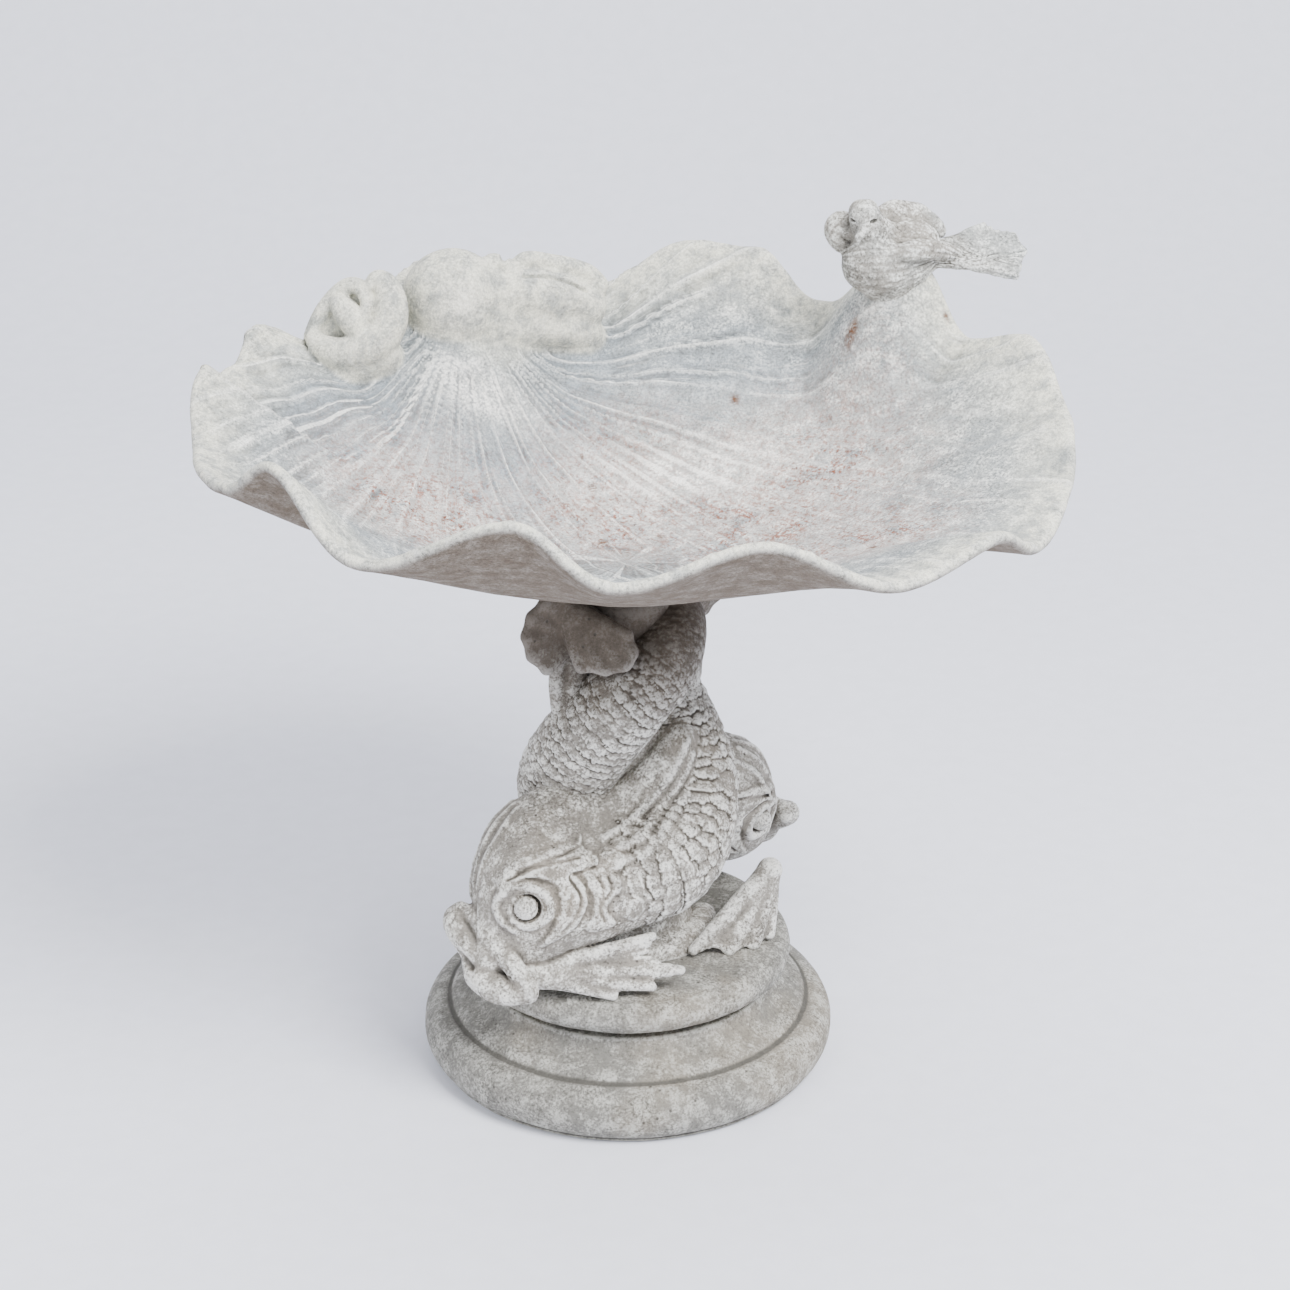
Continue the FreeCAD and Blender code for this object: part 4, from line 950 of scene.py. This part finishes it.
def shell_grid(around):
    """The shell as a closed grid of points: upper face out to the rim, round its edge and back underneath."""
    turns = np.linspace(0, 360, around, endpoint=False)
    rows, inner = [], []
    for share in np.linspace(0, 1, UPPER_ROWS):
        rows.append(shell_point(turns, np.full(around, share)))
        inner.append(1.0)
    full = np.ones(around)
    edge, normal = shell_point(turns, full), shell_normal(turns, full)
    outward = edge - shell_point(turns, full * 0.97)
    outward /= np.linalg.norm(outward, axis=-1)[:, None]
    for step in range(1, RIM_ROWS):
        angle = math.pi * step / RIM_ROWS
        bulge = np.sin(angle) * RIM_BULGE
        rows.append(edge - normal * WALL * (1 - math.cos(angle)) / 2 + outward * WALL * bulge)
        inner.append(1.0 - step / RIM_ROWS)
    for share in np.linspace(1, 0, LOWER_ROWS):
        flat = np.full(around, share)
        rows.append(shell_point(turns, flat) - shell_normal(turns, flat) * WALL)
        inner.append(0.0)
    return np.array(rows), np.array(inner)


def grid_object(name, rows):
    """A closed object from rows of points that run all the way round, capped at both ends."""
    count, around = rows.shape[:2]
    points = np.vstack([rows.reshape(-1, 3), rows[0].mean(0), rows[-1].mean(0)])
    index = np.arange(count * around).reshape(count, around)
    nxt = np.roll(index, -1, axis=1)
    quads = np.stack([index[:-1], index[1:], nxt[1:], nxt[:-1]], -1).reshape(-1, 4)
    top, bottom = np.full(around, count * around), np.full(around, count * around + 1)
    caps = np.vstack([np.stack([top, index[0], nxt[0]], 1), np.stack([bottom, nxt[-1], index[-1]], 1)])
    mesh = bpy.data.meshes.new(name)
    mesh.from_pydata((points * MILLIMETRE).tolist(), [], quads.tolist() + caps.tolist())
    mesh.polygons.foreach_set("use_smooth", np.ones(len(mesh.polygons), bool))
    piece = bpy.data.objects.new(name, mesh)
    bpy.context.scene.collection.objects.link(piece)
    return piece


def inner_share(points):
    """Each point's turn, and how far out on the shell it lies, 0 at the floor and 1 at the rim."""
    angle = np.degrees(np.arctan2(points[:, 1] / HALF_DEPTH, points[:, 0] / HALF_WIDTH))
    out = np.hypot(points[:, 0] / HALF_WIDTH, points[:, 1] / HALF_DEPTH)
    reach = rim_at(angle)[0]
    share = np.clip((out - FLAT) / (1 - FLAT), 0, 1.1)
    for _ in range(3):
        stretch = 1 + (reach - 1) * np.minimum(share, 1) ** RUFFLE_CURVE
        share = np.clip((out / stretch - FLAT) / (1 - FLAT), 0, 1.1)
    return angle, share


def basin_maps(mesh, inner=None, smooth=False):
    """Stores where silt, bluish and creamy stone, marks, lime and ribs lie, and what is underneath."""
    points = points_of(mesh)
    angle, share = inner_share(points)
    above = shell_point(angle, np.minimum(share, 1))[:, 2]
    looks_up = normals_of(mesh)[:, 2]
    # Underside: points below the upper face that look downward, darkened in the materials with dirt and
    # painted shade
    if inner is None:
        under = np.clip((above - WALL * 0.6 - points[:, 2]) / 3.0, 0, 1)
        under = under * np.clip(0.45 - looks_up, 0, 1) / 0.45
    else:
        under = np.clip(1 - inner, 0, 1) * np.clip(0.55 - looks_up, 0, 1)
    hidden = np.clip(under, 0, 1)
    on_top = 1 - hidden
    x, y = points[:, 0], points[:, 1]
    silt = patches(x, y, SILT_PATCHES) * (np.clip((1.0 - share) / SILT_RIM_FADE, 0, 1) * on_top)
    away = np.hypot(x - HINGE[0], y - HINGE[1])
    shade = np.exp(-((away - BLUE_RING_REACH) / BLUE_RING_WIDTH) ** 2)
    shade = np.maximum(shade, patches(x, y, BLUE_PATCHES))
    dome = np.hypot(x - CREAM_DOME_AT[0], (y - CREAM_DOME_AT[1]) * CREAM_DOME_FLAT)
    cream = np.clip((share - CREAM_RIM_FROM) / CREAM_RIM_FADE, 0, 1)
    cream = np.maximum(cream, np.clip((CREAM_DOME_REACH - dome) / CREAM_DOME_FADE, 0, 1)) * on_top
    mark = np.zeros(len(points))
    for at, size in MARKS:
        mark = np.maximum(mark, np.exp(-(np.hypot(x - at[0], y - at[1]) / size) ** 4))
    fan = fan_map(points)
    fan[:, 2] *= 1 - np.clip(under * 2, 0, 1)
    if smooth:
        raised = np.clip((points[:, 2] - above - 1.0) / 3.0, 0, 1)
        fan[:, 2] *= 1 - raised
        cream = np.maximum(cream, raised)
        shade = shade * (1 - raised)
    lime = patches(x, y, LIME_PATCHES)
    for name, values in (("mark", mark * on_top), ("silt", silt), ("lime", lime * on_top),
                         ("hinge_shade", shade * on_top), ("rim_cream", cream), ("stain_and_shade", hidden),
                         ("fan", fan)):
        put(mesh, name, values)


def patches(x, y, table):
    """The strongest of several soft oval patches at each point."""
    return np.maximum.reduce([strength * oval(x, y, at, size) for strength, at, size in table])


def oval(x, y, centre, size):
    """1 in the middle of an oval patch, fading to 0 outside it."""
    return np.exp(-(((x - centre[0]) / size[0]) ** 2 + ((y - centre[1]) / size[1]) ** 2) ** 1.6)


def ears_clay():
    """The rolled ear, the dome and the ruffled ear, grown softly out of the shell."""
    clay = Clay(*EARS_BLOCK, EARS_CELL)
    x, y, z = [clay.low[k] + EARS_CELL * np.arange(clay.far.shape[k]) for k in range(3)]
    plan = np.stack(np.meshgrid(x, y, indexing="ij"), -1).reshape(-1, 2)
    angle, share = inner_share(np.column_stack([plan, np.zeros(len(plan))]))
    full = np.minimum(share, 1.0)
    column = (len(x), len(y), 1)
    top = shell_point(angle, full)[:, 2].reshape(column)
    slope = np.clip(shell_normal(angle, full)[:, 2], 0.3, 1).reshape(column)
    past_rim = ((share - EARS_SKIN_TO) * RIM_STEEPNESS).reshape(column)
    slab = (z[None, None, :] - top) * slope + EARS_SKIN_SUNK
    slab = np.maximum(np.maximum(slab, -slab - EARS_SKIN), past_rim)
    across, deep = [np.minimum(v - v[0], v[-1] - v) - EARS_SKIN_EDGE for v in (x, y)]
    edge = np.minimum(across[:, None], deep[None, :])
    clay.far = np.maximum(slab, -edge[:, :, None]).astype(np.float32)
    clay.ball(DOME_BALL_AT, (DOME_BALL, DOME_BALL * 0.8, DOME_BALL), 8.0)
    for rod, soft in ((EAR_FOOT, 14.0), (EAR_BODY, 7.0), (EAR_CREST, 3.0)):
        clay.rod(rod, soft)
    for groove in EAR_GROOVES:
        clay.rod(groove, 2.0, carve=True)
    for rod, soft in ((SCROLL_FOOT, 10.0), (SCROLL_BACK, 6.0), (SCROLL_WRAP, 3.0), (SCROLL_TONGUE, 2.0),
                      (SCROLL_LOBE, 2.0)):
        clay.rod(rod, soft)
    return clay


# ------------------------------------------------------------------ bird
def bird_clay():
    """The small bird on its neck of stone, modelled in clay."""
    clay = Clay(*BIRD_BLOCK, BIRD_CELL)
    clay.rod(BIRD_NECK, 4.0)
    clay.rod(BIRD_BODY, 4.0)
    clay.ball(*BIRD_CHEST, 6.0)
    clay.ball(*BIRD_SHOULDER, 5.0)
    clay.rod(BIRD_HEAD, 3.0)
    clay.rod(BIRD_BEAK, 2.5)
    for wing in (BIRD_SIDE_WING, BIRD_BACK_WING, BIRD_NEAR_WING):
        clay.rod(wing, 2.0)
    clay.fan(BIRD_TAIL_ROOT, BIRD_TAIL_TIPS, web=2.2, rib=3.0, scallop=0.02, root_thick=7.0, soft=1.5,
             between=4)
    clay.rod(BIRD_HOLLOW, 2.0, carve=True)
    for eye, way in BIRD_EYES:
        clay.ball(clay.drape([(*eye, 0)], way)[0][:3], BIRD_EYE_RADII, 0.5, carve=True)
    clay.below(BIRD_CUT)
    return clay


def feather_map(points):
    """Feather strokes run back from the head: how far back, how far round, and how deep the strokes are."""
    back = points @ np.array(FEATHERS_BACK)
    turn = np.arctan2(points[:, 2] - FEATHERS_ROUND[1], points[:, 1] - FEATHERS_ROUND[0]) * FEATHERS_REACH
    deep = np.clip((points[:, 2] - FEATHERS_FROM) / FEATHERS_GROW, 0, 1)
    return np.stack([back / FEATHER_SIZE, turn / FEATHER_SIZE, deep], 1)


def feather_tree():
    """Long scratched feather strokes, laid out on a stored map of the bird."""
    tree, ins, end = new_tree("feather_strokes", ("Stroke Height", "NodeSocketFloat"))
    place = tree.nodes.new("GeometryNodeInputPosition").outputs[0]
    coat = mapped(tree, "coat")
    drawn = add(tree, "ShaderNodeVectorMath", {"operation": "MULTIPLY"}, i0=coat, i1=(0.4, 2.0, 0.0))
    cells = add(tree, "ShaderNodeTexVoronoi", {"voronoi_dimensions": "2D"}, Vector=drawn.outputs[0],
                Scale=1.0, Randomness=0.9)
    stroke = calc(tree, "SUBTRACT", 0.4, cells.outputs["Distance"])
    strokes = times(tree, stroke, split(tree, coat)[2], ins["Stroke Height"])
    height = calc(tree, "ADD", strokes, weather_offset(tree, ins, place))
    close_tree(tree, pushed(tree, ins[0], height), ins["Material"], end)
    return tree


# ------------------------------------------------------------------ base
def moulding(name, profile, material, sizes, along, stain_and_shade_level=0.0):
    """A turned piece from its profile (distance from the axis, height) in millimetres, closed on itself."""
    points = [(reach * MILLIMETRE, 0.0, height * MILLIMETRE) for reach, height in profile]
    mesh = bpy.data.meshes.new(name)
    mesh.from_pydata(points, [(k, k + 1) for k in range(len(points) - 1)] + [(len(points) - 1, 0)], [])
    piece = bpy.data.objects.new(name, mesh)
    bpy.context.scene.collection.objects.link(piece)
    run_tree(piece, moulding_tree(), {"Steps Round": TURNED_STEPS, "Steps Along": along,
                                      **wear(sizes, material, BASE_LUMPS, 2.0)})
    face_outward(piece.data)
    finish_surface(piece, 8, stain_and_shade_level)
    return piece


def face_outward(mesh):
    """Turns the faces outward."""
    work = bmesh.new()
    work.from_mesh(mesh)
    bmesh.ops.recalc_face_normals(work, faces=work.faces)
    work.to_mesh(mesh)
    work.free()


def arc(centre, radius, first, last, steps):
    """Points of an arc in a profile, angles in degrees."""
    return [(centre[0] + radius[0] * math.cos(math.radians(first + (last - first) * k / steps)),
             centre[1] + radius[1] * math.sin(math.radians(first + (last - first) * k / steps)))
            for k in range(steps + 1)]


# Profiles of the base, turned like the boss's
FOOT_PROFILE = ([(7, 54), (7, 16), (84, 16), (92, 1), (93, 0.3), (117, 0.2), (120, 1.5)]
                + arc((113, 17.5), (14, 16.5), -66, 84, 14)
                + [(111, 34.2), (109.5, 36), (108.5, 37.6)]
                + arc((112, 60), (22, 21), 252, 196, 8) + [(90, 54)])
PLINTH_PROFILE = ([(7, 79), (7, 57), (88, 57), (91, 58)] + arc((90, 69), (10.5, 10), -60, 75, 12)
                  + [(91, 78.6), (89, 79.3), (86, 79.5)])
MORTAR_PROFILE = [(7, 57.4), (7, 53.6), (84, 53.6), (85.5, 55.5), (84, 57.4)]
POST_PROFILE = [(7, 79), (42, 79), (30, 130), (22, 170), (23.5, 230), (27, 303), (25.5, 306), (16, 306),
                (16, 240), (7, 240)]


def declare(piece, body, slot, *nodes):
    """Ties a finished piece to its body and hides the CAD nodes it stands for; the slot argument is not used.
    """
    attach(piece, body)
    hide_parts(*nodes)


# ------------------------------------------------------------------ panel sizes
class BirdBathSizes(bpy.types.PropertyGroup):
    """Sizes in millimetres and colours of the bird bath's finish."""
    cell: FloatProperty(name="Modelling cell", description="Cell size of the dolphins, mm", default=1.25,
                        min=0.8, max=4)
    scale_height: FloatProperty(name="Scale height", description="How far the scales stand out, mm",
                                default=1.7)
    rib_height: FloatProperty(name="Rib height", description="How far the shell's ribs stand out, mm",
                              default=2.0)
    stroke: FloatProperty(name="Feather depth", description="Depth of the bird's feather strokes, mm",
                          default=1.6)
    lump: FloatProperty(name="Lump height", description="Height of the casting's soft lumps, mm", default=0.7)
    grain: FloatProperty(name="Grain height", description="Height of the fine grain, mm", default=0.3)
    around: IntProperty(name="Steps round", description="Points round the basin", default=620)
    basin_tone: FloatVectorProperty(name="Basin colour", description="Middle tone of the bowl",
                                    subtype="COLOR", default=(0.62, 0.64, 0.645))
    column_tone: FloatVectorProperty(name="Column colour", description="Middle tone of the dolphins",
                                     subtype="COLOR", default=(0.575, 0.555, 0.525))
    foot_tone: FloatVectorProperty(name="Foot colour", description="Middle tone of the foot", subtype="COLOR",
                                   default=(0.50, 0.495, 0.47))


class BIRDBATH_OT_base(bpy.types.Operator):
    """Foot, mortar joint, plinth and core post, turned from their profiles"""
    bl_idname = "birdbath.base"
    bl_label = "Base"

    def execute(self, context):
        sizes = context.scene.bird_bath
        stone_foot = cast_stone(sizes, "cast_stone_foot")
        for name, profile, slot, along in (("foot_look", FOOT_PROFILE, "foot", 200),
                                           ("plinth_look", PLINTH_PROFILE, "plinth", 150)):
            declare(moulding(name, profile, stone_foot, sizes, along), "pedestal", slot, slot)
        # Lime mortar squeezed out of the joint
        mortar = stone("lime_mortar", "#8E8B83", "#B3AFA5", "#5E5B54", bloom_and_highlight=0.3, pits=0.6)
        bed = moulding("mortar_look", MORTAR_PROFILE, mortar, sizes, 60)
        declare(bed, "pedestal", "mortar", "mortar_bed")
        post = moulding("post_look", POST_PROFILE, cast_stone(sizes, "cast_stone_dolphins"), sizes, 200)
        declare(post, "pedestal", "post", "core_post")
        return {"FINISHED"}


class BIRDBATH_OT_dolphins(bpy.types.Operator):
    """The two dolphins, modelled in clay and covered in scales"""
    bl_idname = "birdbath.dolphins"
    bl_label = "Dolphins"

    def execute(self, context):
        sizes = context.scene.bird_bath
        points, faces = dolphin_clay(sizes.cell).skin()
        if len(points) < 1000:
            raise RuntimeError("the dolphin came out empty")
        tree = scale_tree()
        coat = body_map(points)
        values = {"Scale Height": sizes.scale_height * MILLIMETRE,
                  **wear(sizes, cast_stone(sizes, "cast_stone_dolphins"), DOLPHIN_LUMPS)}
        for name, hand in (("dolphin_front", 1.0), ("dolphin_rear", -1.0)):
            piece = new_object(name + "_look", points, faces)
            put(piece.data, "coat", coat)
            run_tree(piece, tree, values)
            finish_surface(piece, 6)
            turned = points_of(piece.data) * (hand, hand, 1.0) * MILLIMETRE
            piece.data.vertices.foreach_set("co", turned.astype(np.float32).ravel())
            piece.data.update()
            declare(piece, "pedestal", "dolphins", name)
        return {"FINISHED"}


class BIRDBATH_OT_basin(bpy.types.Operator):
    """The ruffled shell with its ribs, its dome and its two ears"""
    bl_idname = "birdbath.basin"
    bl_label = "Basin"

    def execute(self, context):
        sizes = context.scene.bird_bath
        material = cast_stone(sizes, "cast_stone_basin")
        rows, inner = shell_grid(sizes.around)
        shell = grid_object("basin_shell", rows)
        inside = np.concatenate([np.repeat(inner, rows.shape[1]), [1.0, 0.0]])
        basin_maps(shell.data, inside)
        tree = rib_tree()
        values = {"Rib Height": sizes.rib_height * MILLIMETRE, **wear(sizes, material, BASIN_LUMPS, 1.5)}
        run_tree(shell, tree, values)
        add_relief(shell.data, 5)
        declare(shell, "bowl", "basin", "basin")
        points, faces = ears_clay().skin()
        ears = new_object("basin_ears", points, faces)
        basin_maps(ears.data, smooth=True)
        run_tree(ears, tree, values)
        add_relief(ears.data, 5)
        declare(ears, "bowl", "basin")
        # The boss under the basin is darkened all over to the warm tone: dirt and painted shade
        boss = moulding("basin_boss", BOSS_PROFILE, material, sizes, 60, stain_and_shade_level=1.0)
        for key in ("silt", "hinge_shade", "rim_cream", "mark", "lime"):
            put(boss.data, key, np.zeros(len(boss.data.vertices)))
        put(boss.data, "fan", np.zeros((len(boss.data.vertices), 3)))
        declare(boss, "bowl", "basin")
        return {"FINISHED"}


class BIRDBATH_OT_bird(bpy.types.Operator):
    """The small bird on the rim"""
    bl_idname = "birdbath.bird"
    bl_label = "Bird"

    def execute(self, context):
        sizes = context.scene.bird_bath
        points, faces = bird_clay().skin()
        bird = new_object("bird_look", points, faces)
        put(bird.data, "coat", feather_map(points))
        run_tree(bird, feather_tree(), {"Stroke Height": sizes.stroke * MILLIMETRE,
                                        **wear(sizes, cast_stone(sizes, "cast_stone_bird"), BIRD_LUMPS)})
        finish_surface(bird, 6)
        declare(bird, "bowl", "bird", "bird")
        return {"FINISHED"}


class BIRDBATH_OT_hardware(bpy.types.Operator):
    """Finishes for the rod, nuts, washers, ring, spigot and pin inside the column"""
    bl_idname = "birdbath.hardware"
    bl_label = "Hardware"

    def execute(self, context):
        # Threaded rod, nuts and pin of rusted mild steel
        rusty = metal("rusted_mild_steel", "#6E655C", "#8A4B2C", 0.55, 0.7, 240.0)
        # Washers, seat ring and spigot of brushed, dulled steel
        dull = metal("dull_brushed_steel", "#9A9A98", "#7C7468", 0.35, 0.95, 320.0)
        for node in ("tie_rod", "tie_rod_nuts", "bird_pin"):
            give(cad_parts[node], rusty)
        for node in ("tie_rod_washers", "seat_ring", "basin_spigot"):
            give(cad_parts[node], dull)
        return {"FINISHED"}


def give(piece, material):
    """Puts one material on a carried-over piece."""
    piece.data.materials.clear()
    piece.data.materials.append(material)


class BIRDBATH_OT_stage(bpy.types.Operator):
    """Pale floor and backdrop, soft lights and the camera"""
    bl_idname = "birdbath.stage"
    bl_label = "Stage"

    def execute(self, context):
        floor = sweep("studio_sweep")
        # Matt studio paper
        paper, tree, shader, place = new_material("studio_paper")
        fibre = between(tree, noise(tree, place, 60.0, 4.0), 0.3, 0.7, 0.97, 1.0)
        tree.links.new(scaled(tree, linear("#F0F2FC")[:3], fibre), shader.inputs["Base Color"])
        shader.inputs["Roughness"].default_value = 0.95
        give(floor, paper)
        for lamp in LAMPS:
            area_light(*lamp)
        world = bpy.data.worlds.new("studio")
        context.scene.world = world
        world.use_nodes = True
        sky = world.node_tree.nodes["Background"]
        sky.inputs[0].default_value = SKY_COLOUR
        sky.inputs[1].default_value = SKY_STRENGTH
        lens = bpy.data.cameras.new("camera")
        lens.lens, lens.sensor_width = LENS, SENSOR
        camera = bpy.data.objects.new("camera", lens)
        camera.location = CAMERA_AT
        camera.rotation_euler = (math.radians(90 - CAMERA_LOOKS_DOWN), 0.0, 0.0)
        context.scene.collection.objects.link(camera)
        context.scene.camera = camera
        return {"FINISHED"}


def sweep(name):
    """A floor that curves up into a backdrop."""
    bend = [(SWEEP_BEND_AT + SWEEP_BEND * math.sin(a), SWEEP_BEND - SWEEP_BEND * math.cos(a))
            for a in (0.2, 0.4, 0.6, 0.8, 1.0, 1.2, 1.4, math.pi / 2)]
    profile = [(SWEEP_FRONT, 0.0), (SWEEP_BEND_AT, 0.0), *bend, (SWEEP_BEND_AT + SWEEP_BEND, SWEEP_TOP)]
    points = [(side, y, z) for y, z in profile for side in (-SWEEP_HALF_WIDTH, SWEEP_HALF_WIDTH)]
    faces = [(2 * k, 2 * k + 1, 2 * k + 3, 2 * k + 2) for k in range(len(profile) - 1)]
    mesh = bpy.data.meshes.new(name)
    mesh.from_pydata(points, [], faces)
    mesh.polygons.foreach_set("use_smooth", np.ones(len(faces), bool))
    piece = bpy.data.objects.new(name, mesh)
    bpy.context.scene.collection.objects.link(piece)
    return piece


def area_light(name, place, target, size, watts):
    """A soft square light aimed at a point."""
    lamp = bpy.data.lights.new(name, "AREA")
    lamp.size, lamp.energy = size, watts
    light = bpy.data.objects.new(name, lamp)
    light.location = place
    light.rotation_euler = (Vector(target) - Vector(place)).to_track_quat("-Z", "Y").to_euler()
    bpy.context.scene.collection.objects.link(light)
    return light


STEPS = (BIRDBATH_OT_base, BIRDBATH_OT_dolphins, BIRDBATH_OT_basin, BIRDBATH_OT_bird, BIRDBATH_OT_hardware,
         BIRDBATH_OT_stage)


class BIRDBATH_PT_panel(bpy.types.Panel):
    """Sizes, colours and the steps that build the bird bath"""
    bl_label = "Bird bath"
    bl_idname = "BIRDBATH_PT_panel"
    bl_space_type = "VIEW_3D"
    bl_region_type = "UI"
    bl_category = "Bird bath"

    def draw(self, context):
        for key in BirdBathSizes.__annotations__:
            self.layout.prop(context.scene.bird_bath, key)
        for step in STEPS:
            self.layout.operator(step.bl_idname)


CLASSES = (BirdBathSizes, *STEPS, BIRDBATH_PT_panel)


def register():
    for item in CLASSES:
        bpy.utils.register_class(item)
    bpy.types.Scene.bird_bath = PointerProperty(type=BirdBathSizes)


def unregister():
    del bpy.types.Scene.bird_bath
    for item in reversed(CLASSES):
        bpy.utils.unregister_class(item)


def main():
    register()
    bpy.ops.birdbath.base()
    bpy.ops.birdbath.dolphins()
    bpy.ops.birdbath.basin()
    bpy.ops.birdbath.bird()
    bpy.ops.birdbath.hardware()
    bpy.ops.birdbath.stage()


if __name__ == "__main__":
    main()
